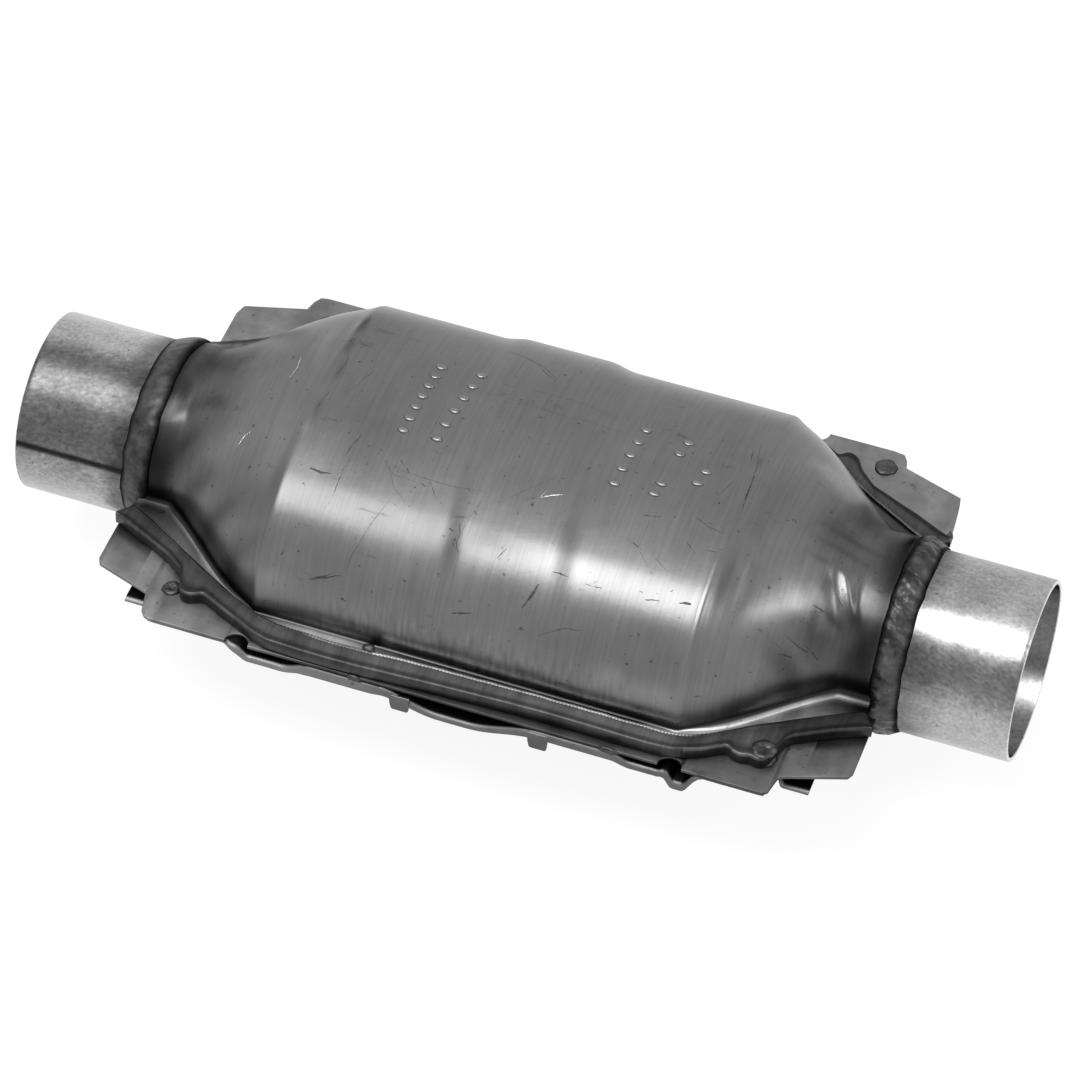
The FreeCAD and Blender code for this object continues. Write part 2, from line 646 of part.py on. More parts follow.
doc.recompute()
for item in doc.Objects:
    if "Invalid" in item.State or "Error" in item.State:
        raise RuntimeError(f"{item.Name} failed: {item.State}")
os.makedirs("parts", exist_ok=True)
for piece in pieces:
    shape = piece.Shape
    if shape.isNull() or not shape.isValid():
        raise RuntimeError(f"{piece.Label} isn't a valid solid")
    shape.exportStep(f"parts/{piece.Label}.step")
    box = shape.BoundBox
    print(piece.Label, len(shape.Solids), "solids", round(shape.Volume), "mm3,", len(shape.Faces), "faces,",
          [round(v, 2) for v in (box.XMin, box.XMax, box.YMin, box.YMax, box.ZMin, box.ZMax)])
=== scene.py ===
import bmesh
import bpy
import math
from mathutils import Matrix, Vector, noise


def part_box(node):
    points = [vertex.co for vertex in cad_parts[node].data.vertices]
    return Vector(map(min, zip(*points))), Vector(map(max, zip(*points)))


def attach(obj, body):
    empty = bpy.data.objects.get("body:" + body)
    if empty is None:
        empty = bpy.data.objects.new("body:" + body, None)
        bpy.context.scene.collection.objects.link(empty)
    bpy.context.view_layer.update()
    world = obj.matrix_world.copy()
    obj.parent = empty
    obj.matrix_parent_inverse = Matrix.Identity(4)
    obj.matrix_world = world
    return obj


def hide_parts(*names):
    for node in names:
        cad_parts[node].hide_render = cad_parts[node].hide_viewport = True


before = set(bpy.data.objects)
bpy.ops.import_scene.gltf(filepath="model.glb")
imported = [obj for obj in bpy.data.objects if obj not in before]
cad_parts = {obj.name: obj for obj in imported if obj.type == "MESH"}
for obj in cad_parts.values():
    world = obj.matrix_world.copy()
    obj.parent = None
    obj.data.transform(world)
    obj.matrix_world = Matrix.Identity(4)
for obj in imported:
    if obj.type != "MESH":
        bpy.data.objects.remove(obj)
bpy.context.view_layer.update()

mm = 0.001
pipeLow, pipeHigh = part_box("inlet_pipe")
axisHeight = (pipeLow.z + pipeHigh.z) / 2 / mm      # the pipe axis over the floor, in mm

# Sizes below are in mm: x runs from the inlet to the outlet, the front is toward -y, and heights are
# counted from the pipe axis. A tone makes the metal lighter (over 1) or darker (under 1) at a point.


def place(x, y, z):
    return Vector((x * mm, y * mm, (z + axisHeight) * mm))


def blendValue(low, high, share):
    return low + (high - low) * share


def smoothRise(start, end, value):
    share = min(max((value - start) / (end - start), 0.0), 1.0)
    return share * share * (3 - 2 * share)


def alongLine(corners, value):
    # height of a broken line, given as (place, height) corners in order
    if value <= corners[0][0]:
        return corners[0][1]
    for (x0, y0), (x1, y1) in zip(corners, corners[1:]):
        if value <= x1:
            return blendValue(y0, y1, (value - x0) / (x1 - x0)) if x1 > x0 else y1
    return corners[-1][1]


def softLine(corners, value, reach):
    # the same line with its corners rounded off
    return sum(alongLine(corners, value + reach * part) for part in (-1.0, -0.5, 0.0, 0.5, 1.0)) / 5


def stretchSum(stretches, x):
    # each stretch: start, full from, full to, end, size
    return sum(size * (smoothRise(start, full, x) - smoothRise(fullEnd, end, x))
               for start, full, fullEnd, end, size in stretches)


def wobble(x, y, z, scale, seed):
    # smooth noise between about -1 and 1, with lumps of about the given scale
    return noise.noise(Vector((x / scale + seed * 7.3, y / scale - seed * 3.1, z / scale + seed)))


def spread(start, end, step):
    count = max(int(round((end - start) / step)), 1)
    return [start + (end - start) * number / count for number in range(count + 1)]


# Meshes

weldDistance = 0.002


def shadeFaces(mesh, smooth):
    mesh.polygons.foreach_set("use_smooth", [smooth] * len(mesh.polygons))


def meshPiece(name, vertices, faces, tones=None):
    # tones: one number for each vertex
    mesh = bpy.data.meshes.new(name)
    mesh.from_pydata([tuple(vertex) for vertex in vertices], [], faces)
    mesh.update()
    if tones is not None:
        tone = mesh.attributes.new("tone", "FLOAT", "POINT")
        tone.data.foreach_set("value", tones)
    piece = bpy.data.objects.new(name, mesh)
    bpy.context.scene.collection.objects.link(piece)
    joined = bmesh.new()
    joined.from_mesh(mesh)
    bmesh.ops.remove_doubles(joined, verts=joined.verts, dist=weldDistance * mm)
    bmesh.ops.recalc_face_normals(joined, faces=joined.faces)
    joined.to_mesh(mesh)
    joined.free()
    shadeFaces(mesh, True)
    return piece


def gridFaces(rows, columns, closed=False, ring=False, base=0):
    # closed joins each row's end to its start, and ring joins the last row to the first
    faces = []
    for row in range(rows if ring else rows - 1):
        this, following = base + row * columns, base + (row + 1) % rows * columns
        for column in range(columns if closed else columns - 1):
            right = (column + 1) % columns
            faces.append((this + column, this + right, following + right, following + column))
    return faces


def addDome(vertices, faces, rings, turns, point, caps=0):
    # rings of points, one for each share from 0 to 1; caps close the first ring, then the last one
    base = len(vertices)
    vertices += [point(ring / (rings - 1), 2 * math.pi * turn / turns)
                 for ring in range(rings) for turn in range(turns)]
    faces += gridFaces(rings, turns, closed=True, base=base)
    last = len(vertices) - 1
    faces += [tuple(range(base, base + turns)), tuple(range(last, last - turns, -1))][:caps]


def sweptPiece(name, sections, tones):
    # closed sections joined one after another, with flat caps at both ends
    count = len(sections[0])
    vertices = [point for section in sections for point in section]
    faces = gridFaces(len(sections), count, closed=True)
    faces.append(tuple(range(count))[::-1])
    faces.append(tuple(range(len(vertices) - count, len(vertices))))
    return meshPiece(name, vertices, faces, tones)


def ringPiece(name, sections, tones):
    # closed sections joined into a closed ring
    vertices = [point for section in sections for point in section]
    faces = gridFaces(len(sections), len(sections[0]), closed=True, ring=True)
    return meshPiece(name, vertices, faces, tones)


def applyModifiers(piece):
    bpy.context.view_layer.update()
    evaluated = piece.evaluated_get(bpy.context.evaluated_depsgraph_get())
    mesh = bpy.data.meshes.new_from_object(evaluated)
    piece.modifiers.clear()
    piece.data = mesh
    shadeFaces(mesh, True)


def turnOutward(piece, side):
    # the face normals of an open skin point up for side 1 and down for side -1
    total = sum(polygon.normal.z * polygon.area for polygon in piece.data.polygons)
    if total * side < 0:
        piece.data.flip_normals()


def thicken(piece, thickness):
    solid = piece.modifiers.new("wall", "SOLIDIFY")
    solid.thickness = thickness * mm
    solid.offset = -1
    solid.use_even_offset = False
    applyModifiers(piece)


def softenEdges(piece, width, angle):
    bevel = piece.modifiers.new("edge", "BEVEL")
    bevel.width = width * mm
    bevel.segments = 2
    bevel.limit_method = "ANGLE"
    bevel.angle_limit = math.radians(angle)
    applyModifiers(piece)


def keepSharp(piece, angle, flatArea=None):
    # flatArea: faces larger than this many square mm are shaded flat
    if flatArea:
        for polygon in piece.data.polygons:
            polygon.use_smooth = polygon.area < flatArea * mm * mm
    piece.data.set_sharp_from_angle(angle=math.radians(angle))


def finishPiece(piece, slotName, material, *nodes):
    piece.data.materials.clear()
    piece.data.materials.append(material)
    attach(piece, "root")
    if nodes:
        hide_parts(*nodes)


# Materials

def nodeMaterial(name):
    material = bpy.data.materials.new(name)
    material.use_nodes = True
    return material, material.node_tree, material.node_tree.nodes["Principled BSDF"]


def noiseValue(tree, scale, detail, roughness=0.6, twist=0):
    # noise over the piece's own coordinates in metres; scale is one number or one for each axis
    where = tree.nodes.new("ShaderNodeTexCoord")
    mapping = tree.nodes.new("ShaderNodeMapping")
    mapping.inputs["Scale"].default_value = scale if isinstance(scale, tuple) else (scale,) * 3
    mapping.inputs["Rotation"].default_value = (0, 0, math.radians(twist))
    texture = tree.nodes.new("ShaderNodeTexNoise")
    texture.inputs["Scale"].default_value = 1.0
    texture.inputs["Detail"].default_value = detail
    texture.inputs["Roughness"].default_value = roughness
    tree.links.new(where.outputs["Object"], mapping.inputs["Vector"])
    tree.links.new(mapping.outputs["Vector"], texture.inputs["Vector"])
    return texture.outputs["Fac"]


def toneValue(tree):
    tone = tree.nodes.new("ShaderNodeAttribute")
    tone.attribute_name = "tone"
    return tone.outputs["Fac"]


def valueRange(tree, source, fromSpan, toLow, toHigh):
    node = tree.nodes.new("ShaderNodeMapRange")
    for socket, value in zip(("From Min", "From Max", "To Min", "To Max"), (*fromSpan, toLow, toHigh)):
        node.inputs[socket].default_value = value
    tree.links.new(source, node.inputs["Value"])
    return node.outputs["Result"]


def joinValues(tree, operation, *sources):
    node = tree.nodes.new("ShaderNodeMath")
    node.operation = operation
    for socket, source in zip(node.inputs, sources):
        if isinstance(source, (int, float)):
            socket.default_value = source
        else:
            tree.links.new(source, socket)
    return node.outputs["Value"]


def product(tree, *sources):
    result = sources[0]
    for source in sources[1:]:
        result = joinValues(tree, "MULTIPLY", result, source)
    return result


def huedColour(tree, value, hue):
    node = tree.nodes.new("ShaderNodeCombineColor")
    for socket, share in zip(("Red", "Green", "Blue"), hue):
        tree.links.new(product(tree, value, share), node.inputs[socket])
    return node.outputs["Color"]


def neckTint(tree, start, end, tone):
    # darker, heat-tinted metal toward both necks, with a cloudy edge
    where = tree.nodes.new("ShaderNodeTexCoord")
    split = tree.nodes.new("ShaderNodeSeparateXYZ")
    tree.links.new(where.outputs["Object"], split.inputs["Vector"])
    fromMiddle = joinValues(tree, "ABSOLUTE", split.outputs["X"])
    clouds = noiseValue(tree, (70, 45, 45), 5.0, 0.65)
    reach = joinValues(tree, "ADD", fromMiddle, valueRange(tree, clouds, (0.25, 0.75), -0.011, 0.011))
    return valueRange(tree, reach, (start * mm, end * mm), 1.0, tone)


def addBumps(tree, shader, bumps):
    # bumps: (height value, distance in mm, strength), laid one over another
    normal = None
    for height, distance, strength in bumps:
        bump = tree.nodes.new("ShaderNodeBump")
        bump.inputs["Distance"].default_value = distance * mm
        bump.inputs["Strength"].default_value = strength
        tree.links.new(height, bump.inputs["Height"])
        if normal is not None:
            tree.links.new(normal, bump.inputs["Normal"])
        normal = bump.outputs["Normal"]
    tree.links.new(normal, shader.inputs["Normal"])


# what a finish has unless it says otherwise
plainFinish = {
    "spots": 0.5, "speck": 520, "speckDepth": 0.05, "scuffs": 0.25, "scuff": (60, 260, 260), "scuffTwist": 25,
    "scuffDepth": 0.02, "waves": 0.25, "metal": 1.0, "toned": False,
}
# spans of the noise: nearly all of it, and only its highest peaks
wholeNoise, speckPeaks, scuffPeaks = (0.3, 0.7), (0.68, 0.76), (0.66, 0.74)


def makeFinish(name, look):
    # rolled sheet, weld or ceramic: clouds, grain, specks and scuffs in colour and in relief
    look = {**plainFinish, **look}
    material, tree, shader = nodeMaterial(name)
    grey, varied, rough = look["grey"], look["spread"], look["rough"]
    cloud = noiseValue(tree, look["cloud"], 4.0)
    grain = noiseValue(tree, look["brush"], 3.0)
    speck = noiseValue(tree, look["speck"], 2.0)
    scuff = noiseValue(tree, look["scuff"], 3.0, twist=look["scuffTwist"])
    shares = [
        valueRange(tree, cloud, wholeNoise, grey * (1 - varied), grey * (1 + varied)),
        valueRange(tree, grain, wholeNoise, 1 - look["streaks"], 1 + look["streaks"]),
        valueRange(tree, speck, speckPeaks, 1.0, 1.0 - look["spots"]),
        valueRange(tree, scuff, scuffPeaks, 1.0, 1.0 - look["scuffs"])]
    if "neckTint" in look:
        shares.append(neckTint(tree, *look["neckTint"]))
    if look["toned"]:
        shares.append(toneValue(tree))
        # dark tones, soot and painted shade alike, keep their darkness at grazing angles
        grazing = valueRange(tree, toneValue(tree), (0.1, 0.9), 0.02, 1.0)
        tree.links.new(grazing, shader.inputs["Specular Tint"])
    colour = product(tree, *shares)
    if "hue" in look:
        colour = huedColour(tree, colour, look["hue"])
    tree.links.new(colour, shader.inputs["Base Color"])
    tree.links.new(valueRange(tree, cloud, wholeNoise, rough * 0.82, rough * 1.2), shader.inputs["Roughness"])
    shader.inputs["Metallic"].default_value = look["metal"]
    addBumps(tree, shader, (
        (cloud, look["waves"], 0.3), (grain, look["brushDepth"], 0.5), (speck, look["speckDepth"], 0.4),
        (scuff, look["scuffDepth"], 0.5)))
    return material


# noise scales are per metre, depths in mm; neckTint: start, end and tone
finishes = {
    "shellSteel": {
        "grey": 0.158, "spread": 0.13, "cloud": 24, "brush": (1300, 50, 50), "brushDepth": 0.012,
        "streaks": 0.09, "rough": 0.31, "spots": 0.6, "scuffs": 0.32,
        "neckTint": (88, 119, 0.42), "toned": True},
    "stripSteel": {
        "grey": 0.062, "spread": 0.16, "cloud": 60, "brush": (760, 90, 90), "brushDepth": 0.02,
        "streaks": 0.2, "rough": 0.42, "spots": 0.4, "toned": True},
    "panSteel": {
        "grey": 0.27, "spread": 0.16, "cloud": 45, "brush": 170, "brushDepth": 0.02,
        "streaks": 0.12, "rough": 0.42, "spots": 0.6, "scuffs": 0.3, "waves": 0.4, "toned": True},
    "railSteel": {
        "grey": 0.25, "spread": 0.24, "cloud": 60, "brush": 170, "brushDepth": 0.02,
        "streaks": 0.14, "rough": 0.4, "spots": 0.7, "scuffs": 0.4,
        "scuff": (120, 160, 160), "waves": 0.5, "toned": True},
    "pipeSteel": {
        "grey": 0.46, "spread": 0.16, "cloud": 55, "brush": 900, "brushDepth": 0.03,
        "streaks": 0.22, "rough": 0.27, "scuffs": 0.35, "scuff": (30, 200, 200), "toned": True},
    "weldSteel": {
        "grey": 0.06, "spread": 0.4, "cloud": 170, "brush": 420, "brushDepth": 0.16,
        "streaks": 0.35, "rough": 0.4, "spots": 0.8, "waves": 0.5, "metal": 0.85, "toned": True},
    "puddleSteel": {
        "grey": 0.062, "spread": 0.4, "cloud": 170, "brush": 420, "brushDepth": 0.16,
        "streaks": 0.35, "rough": 0.42, "spots": 0.8, "waves": 0.5, "metal": 0.85},
    "brickCeramic": {
        "grey": 0.42, "spread": 0.1, "cloud": 60, "brush": 300, "brushDepth": 0.02,
        "streaks": 0.08, "rough": 0.9, "metal": 0.0, "hue": (1.0, 0.93, 0.82)},
    "matFibre": {
        "grey": 0.6, "spread": 0.1, "cloud": 90, "brush": (200, 1100, 1100), "brushDepth": 0.1,
        "streaks": 0.2, "rough": 0.95, "metal": 0.0, "hue": (1.0, 0.97, 0.9)},
    "sealMesh": {
        "grey": 0.3, "spread": 0.15, "cloud": 120, "brush": 1300, "brushDepth": 0.25,
        "streaks": 0.5, "rough": 0.4},
    "pipSteel": {
        "grey": 0.2, "spread": 0.2, "cloud": 300, "brush": (800, 300, 300), "brushDepth": 0.01,
        "streaks": 0.1, "rough": 0.3},
    "scratchDark": {
        "grey": 0.045, "spread": 0.4, "cloud": 500, "brush": 900, "brushDepth": 0.02,
        "streaks": 0.3, "rough": 0.5, "metal": 0.6},
    "scratchBright": {
        "grey": 0.75, "spread": 0.1, "cloud": 300, "brush": 900, "brushDepth": 0.01,
        "streaks": 0.1, "rough": 0.3},
}
metals = {name: makeFinish(name, look) for name, look in finishes.items()}
print("materials made")

# Body: oval half sections with cones and necks

body = {
    "size": (61.5, 43.5, 40.0),          # half width, height, side radius
    "wall": 1.5,
    "crease": 68.0,                      # end of the oval, start of the cones
    "wideShares": (0.73, 0.81, 0.74),    # the cone's middle sections, as shares between neck and oval
    "slimShares": (0.345, 0.40, 0.335),
    "neckStart": 108.0,
    "neckEnd": 118.5,
    "neckRadius": 30.225,
    "creaseSoftness": 0.7,
    "creaseBite": 0.9,                   # extra step in just past each crease
    "biteLead": 0.4,
    "biteLength": 4.5,
    "roundHeight": 0.05,                 # sections with a lower crown than this are round
    "rowStep": 0.95,
    "columns": 124,
}


def rawSizes(x):
    # half width, height and side radius of the section at x
    neck = (body["neckRadius"],) * 3
    share = (abs(x) - body["crease"]) / (body["neckStart"] - body["crease"])
    if share <= 0:
        return body["size"]
    if share >= 1:
        return neck
    # one cubic through the four sections, a third of the cone apart
    t = share * 3
    weights = (
        -(t - 1) * (t - 2) * (t - 3) / 6, t * (t - 2) * (t - 3) / 2,
        -t * (t - 1) * (t - 3) / 2, t * (t - 1) * (t - 2) / 6)
    wide, slim = [
        tuple(blendValue(neck[0], size, part) for part, size in zip(shares, body["size"]))
        for shares in (body["wideShares"], body["slimShares"])]
    stations = (body["size"], wide, slim, neck)
    return tuple(sum(w * s[i] for w, s in zip(weights, stations)) for i in range(3))


def sectionSizes(x, growth=0.0):
    # the raw sizes softened over the creases, grown outwards
    total = [0.0, 0.0, 0.0]
    for offset, weight in ((-1.0, 1), (-0.5, 2), (0.0, 2), (0.5, 2), (1.0, 1)):
        sizes = rawSizes(x + offset * body["creaseSoftness"])
        total = [t + s * weight / 8 for t, s in zip(total, sizes)]
    past = max(abs(x) - body["crease"] + body["biteLead"], 0) / body["biteLength"]
    bite = body["creaseBite"] * past * math.exp(1 - past)
    return [t - bite + growth for t in total]


def crownArc(sizes):
    # middle of the side's arc, radius of the crown's arc and the angle where they meet
    width, height, radius = sizes
    sideCentre = width - radius
    if height - radius > body["roundHeight"]:
        crown = (sideCentre ** 2 + height ** 2 - radius ** 2) / (2 * (height - radius))
        return sideCentre, crown, math.atan2(crown - height, sideCentre)
    return sideCentre, height, math.pi / 3


def ovalWall(sizes, level, count):
    # places (y, z) and outward normals on the half oval from +y to -y, starting at the given height
    height, radius = sizes[1:]
    sideCentre, crown, handOver = crownArc(sizes)
    start = math.asin(min(max(level / radius, -1.0), 1.0))
    sideLength = radius * (handOver - start)
    crownLength = crown * (math.pi / 2 - handOver)
    points = []
    for number in range(count + 1):
        share = number / count
        mirrored = share > 0.5
        distance = (1 - share if mirrored else share) * 2 * (sideLength + crownLength)
        if distance <= sideLength:
            angle = start + distance / radius
            y, z = sideCentre + radius * math.cos(angle), radius * math.sin(angle)
        else:
            angle = handOver + (distance - sideLength) / crown
            y, z = crown * math.cos(angle), height - crown + crown * math.sin(angle)
        sign = -1 if mirrored else 1
        points.append((sign * y, z, sign * math.cos(angle), math.sin(angle)))
    return points


def ovalHeight(sizes, y):
    # height of the half oval at a place across
    height, radius = sizes[1:]
    sideCentre, crown, handOver = crownArc(sizes)
    if abs(y) <= crown * math.cos(handOver):
        return height - crown + math.sqrt(crown ** 2 - y ** 2)
    return math.sqrt(max(radius ** 2 - (abs(y) - sideCentre) ** 2, 0.0))


# Raised band, pressing marks, stains and painted light of the upper half

band = {"start": -21.0, "topStart": -12.5, "topEnd": 13.5, "end": 23.0, "rise": 1.4, "lean": -0.14}
unevenness = {"height": 0.1, "scale": 24.0}
# (x, y) of both ends, width and height of soft ridges (or dents)
ridges = (
    (101.6, -8.5, 109.6, -22, 1.6, 0.95), (98.2, -11.5, 106, -26, 2.4, -0.75), (84, -16, 97, -31, 5.5, 0.3),
    (-113.5, -18, -99, -8.5, 2.4, 0.35), (-112.5, -23.5, -98, -15, 2.8, -0.4), (-111, 4, -104, -6, 3, 0.35),
    (-67.8, 30, -68.2, -20, 1.5, 0.35), (66.9, -24, 67.6, -52, 1.2, 0.45),
    (73.5, -16, 74.5, -50, 2.6, -0.3),
)
# (x, y, reach along x, reach across, tone) of heat stains and rubbed places, and of painted highlights,
# glints and painted shade where the light falls on the curved metal
stainsAndPaintedLight = (
    (-113, -27, 5.5, 8, 0.22), (-108, -22, 5, 5, 0.6), (-116.5, 0, 2.2, 40, 0.35), (-108, 6, 6, 8, 0.62),
    (-100, 4, 5, 5, 0.72), (-101, -11, 5.5, 3, 0.6), (-112, -14, 3, 3, 1.1), (-98, -33, 8, 3, 0.62),
    (-87, -43, 8, 3, 0.62), (-77, -53, 7, 3, 0.6), (-92, -28, 8, 6, 1.25), (-74.5, 18, 3.4, 16, 1.35),
    (-66.6, 30, 1.3, 5, 0.55), (-66.4, 17, 1.1, 4, 0.62), (-65, 5, 1.2, 5, 0.72), (-66, -13, 1.2, 4, 0.7),
    (116.5, 0, 2.4, 40, 0.38), (112, -26, 5, 8, 0.22), (109, -19, 4, 2.4, 0.45), (100, -30, 6, 4, 0.6),
    (97, -38, 6, 3, 0.5), (101, 14, 6, 8, 0.62), (98, 2, 5, 4, 0.75), (93, 0, 7, 10, 0.82),
    (87, 26, 6, 5, 1.5), (95, 21, 4, 4, 1.5), (91, -26.5, 5.5, 5.5, 1.1), (104, -14.5, 2.4, 4, 1.8),
    (99, -18, 3, 2, 1.1), (97.5, -24, 1.4, 5, 0.6), (90, -39, 5, 2, 0.8), (103.5, -22.4, 3, 1.6, 0.5),
    (-108, 23, 9, 10, 0.36), (-94, 25, 7, 6, 0.6), (-97, 12, 6, 6, 0.8), (-86, 22, 5, 6, 0.8),
    (-117.5, -19, 2.2, 12, 0.35), (-113, -6, 4, 6, 0.62), (-110, 36, 8, 8, 0.5), (109.5, 23, 7.5, 9, 0.38),
    (99, 22, 4, 6, 0.72), (113, 3, 3.5, 11, 0.55), (112, -9, 3, 3, 0.7), (75.5, -30, 3, 12, 0.8),
    (66.6, 15, 1.2, 3, 0.75), (-40, -39.5, 46, 7, 0.66), (-12, -45, 6, 4, 0.7), (0, -38, 10, 4.5, 0.68),
    (-112, -12, 3.5, 5, 0.5), (99, -3.5, 8, 1.3, 0.72), (101, 2, 9, 1.2, 0.75), (93.5, -10, 3, 1.2, 0.75),
    (45, -59, 4, 1.6, 1.35), (54, -59.6, 5, 1.2, 1.3), (62, -59.6, 4, 1.2, 1.3), (-63, -58.6, 5, 1.4, 1.25),
    (-20, -50, 1.6, 5, 0.85), (70.8, -34, 1.6, 12, 0.62), (75, -10, 3.5, 20, 0.85), (110.5, -9, 3, 3, 1.7),
    (66.6, -38, 1, 9, 1.3), (26, -39.5, 9, 4, 1.2), (-18, -39, 5, 5, 0.86),
)
toneSpotEdge = {"drift": 2.2, "scale": 7.0, "fullReach": 5, "limit": 6}


def stainAndLightTone(x, y):
    tone = 1.0
    shiftX, shiftY = [toneSpotEdge["drift"] * wobble(x, y, level, toneSpotEdge["scale"], seed)
                      for level, seed in ((0, 61), (9, 62))]
    for centreX, centreY, reachX, reachY, value in stainsAndPaintedLight:
        away = ((x + shiftX * min(reachX / toneSpotEdge["fullReach"], 1) - centreX) / reachX) ** 2
        away += ((y + shiftY * min(reachY / toneSpotEdge["fullReach"], 1) - centreY) / reachY) ** 2
        if away < toneSpotEdge["limit"]:
            tone *= 1 + (value - 1) * math.exp(-away)
    return tone


def dullness(x, y, z, seed):
    return unevenness["height"] * (wobble(x, y, z, unevenness["scale"], seed) - 0.5)


def upperRise(x, y, z, upward):
    # how far the upper half stands out of its plain section
    shift = band["lean"] * y
    rise = band["rise"] * (smoothRise(band["start"] + shift, band["topStart"] + shift, x)
                           - smoothRise(band["topEnd"] + shift, band["end"] + shift, x))
    rise *= smoothRise(0.1, 0.6, upward)
    for x0, y0, x1, y1, width, height in ridges:
        dx, dy = x1 - x0, y1 - y0
        length = math.hypot(dx, dy)
        along = ((x - x0) * dx + (y - y0) * dy) / length
        across = ((x - x0) * dy - (y - y0) * dx) / length
        if abs(across) < 3 * width and -2 * width < along < length + 2 * width:
            fade = smoothRise(-1.5 * width, 3.0, along)
            fade *= 1 - smoothRise(length - 3.0, length + 1.5 * width, along)
            rise += height * fade * math.exp(-(across / width) ** 2)
    return rise + dullness(x, y, z, 1)


# Plan outline of the flange and of the hem over it. Each line runs from the inlet end to the outlet end;
# the four lines differ as the crimped edge does.

flange = {
    "end": 122.5,
    "outerFront": (
        (-122.5, 40), (-100.7, 50.4), (-94.2, 55.2), (-93.6, 59), (-92.2, 62.2), (-89.8, 63.4),
        (-87.2, 62.9), (-84.8, 61.4), (-65.6, 70.8), (-60, 72.4), (-48, 72.9), (-32, 72.8), (-1, 71.2),
        (27, 70.2), (60, 70.6), (69, 70.2), (77, 67), (84, 62.6), (85.5, 64.2), (88.5, 64.9), (91.4, 64),
        (93.6, 64.9), (96.2, 64), (97.8, 61), (98.2, 56.8), (100.3, 52.8), (110.9, 46.6), (122.5, 41.2),
    ),
    "outerBack": (
        (-122.5, 38.8), (-119.2, 40.6), (-112.4, 43.8), (-103.3, 49.3), (-94.2, 55), (-90.2, 58.4),
        (-89.4, 62.6), (-88, 65.8), (-85.1, 67), (-82.2, 67), (-79.5, 66), (-66, 71.6), (-50, 72.8),
        (0, 72.4), (50, 72.6), (66, 70.6), (79.5, 62.4), (80.6, 64.2), (82.6, 65), (85.6, 63.4),
        (87.6, 59.5), (93.3, 54), (110, 46.8), (122.5, 41),
    ),
    "innerFront": (
        (-118.5, 34.2), (-116.6, 35.2), (-95.3, 47.7), (-77.3, 57.9), (-66, 63.4), (-59.4, 64.8),
        (-41.5, 65.6), (-29, 65.4), (-18.9, 64.4), (25, 63.6), (44, 63.6), (64, 63.8), (70, 63.2),
        (75.1, 61.6), (90.3, 51.2), (116.8, 36), (118.5, 35),
    ),
    "innerBack": (
        (-118.5, 34.6), (-95, 48), (-77, 58.1), (-66, 64.2), (-40, 64.9), (0, 65), (40, 64.9), (68, 64.2),
        (79, 58.1), (95, 48), (118.5, 34.6),
    ),
    "outerSoftness": 0.9,
    "innerSoftness": 3.0,
    "level": 1.5,
    "stretch": 1.022,                    # the flange runs out past the end of the neck
    "places": (0.0, 0.35, 0.7, 0.87, 1.0),
    "placeTones": (0.4, 0.5, 0.8, 1.1),
    "upperInset": 1.8,                   # its edge stays this far inside the hem
    "lowerInset": 1.4,
    "tilt": 0.3,
    "footTurns": 6,
    "footRadius": 0.8,
    "inletFootGrowth": 1.4,
    "outletFootGrowth": 2.4,
    # (x, tone) of the flange between the wall and the hem: painted highlight and painted shade where the flat
    # catches or misses the light, with some random rubbing; then of the painted shade in the corner at its
    # foot
    "tones": (
        (-118, 1.6), (-78, 1.7), (-72, 0.5), (-64, 0.6), (-56, 1.8), (-50, 2.7), (-38, 2.6), (-27, 0.9),
        (-18, 0.3), (56, 0.22), (63, 3), (70, 6), (76, 5.2), (102, 5.2), (109, 2.2), (115, 0.6),
    ),
    "backTone": 0.7,
    "footShadeTones": ((-66, 0.28), (-60, 0.5), (-20, 0.5), (20, 0.42), (66, 0.3)),
    "footShadeReach": ((-66, 4.5), (-60, 2.6), (-20, 2.8), (10, 5), (66, 6)),
    "combMarks": 0.35,                   # pressing marks low on the wall, stronger in front of the middle
    "frontCombMarks": 0.2,
}


def outerLine(x, end):
    return softLine(flange["outerBack" if end > 0 else "outerFront"], x, flange["outerSoftness"])


def innerLine(x, end):
    line = softLine(flange["innerBack" if end > 0 else "innerFront"], x, flange["innerSoftness"])
    beyond = (abs(x) - body["neckEnd"]) / (flange["end"] - body["neckEnd"])
    if beyond > 0:
        line = blendValue(line, outerLine(x, end) - 0.8, min(beyond, 1.0))
    return line


def footRadius(x):
    # radius between the wall and the flange, tighter along the straight sides
    growth = flange["outletFootGrowth" if x > 0 else "inletFootGrowth"]
    return flange["footRadius"] + growth * smoothRise(66, 84, abs(x))


def flangeEdge(x, end, side, root, foot):
    # points from the flange's edge inward and up round its foot
    outerX = x * flange["stretch"]
    limit = outerLine(outerX, end) - flange["upperInset" if side > 0 else "lowerInset"]
    limit = max(limit, innerLine(outerX, end) + 0.5, root + foot + 0.3)
    lean = flange["tilt"] * smoothRise(70, 96, abs(x)) if side > 0 else 0.0
    edge = [(blendValue(outerX, x, share), end * blendValue(limit, root + foot, share),
             side * flange["level"] + lean * math.sin(math.pi * share)) for share in flange["places"]]
    for turn in range(1, flange["footTurns"]):
        angle = math.pi / 2 * turn / flange["footTurns"]
        edge.append((x, end * (root + foot - foot * math.sin(angle)),
                     side * (flange["level"] + foot - foot * math.cos(angle))))
    return edge


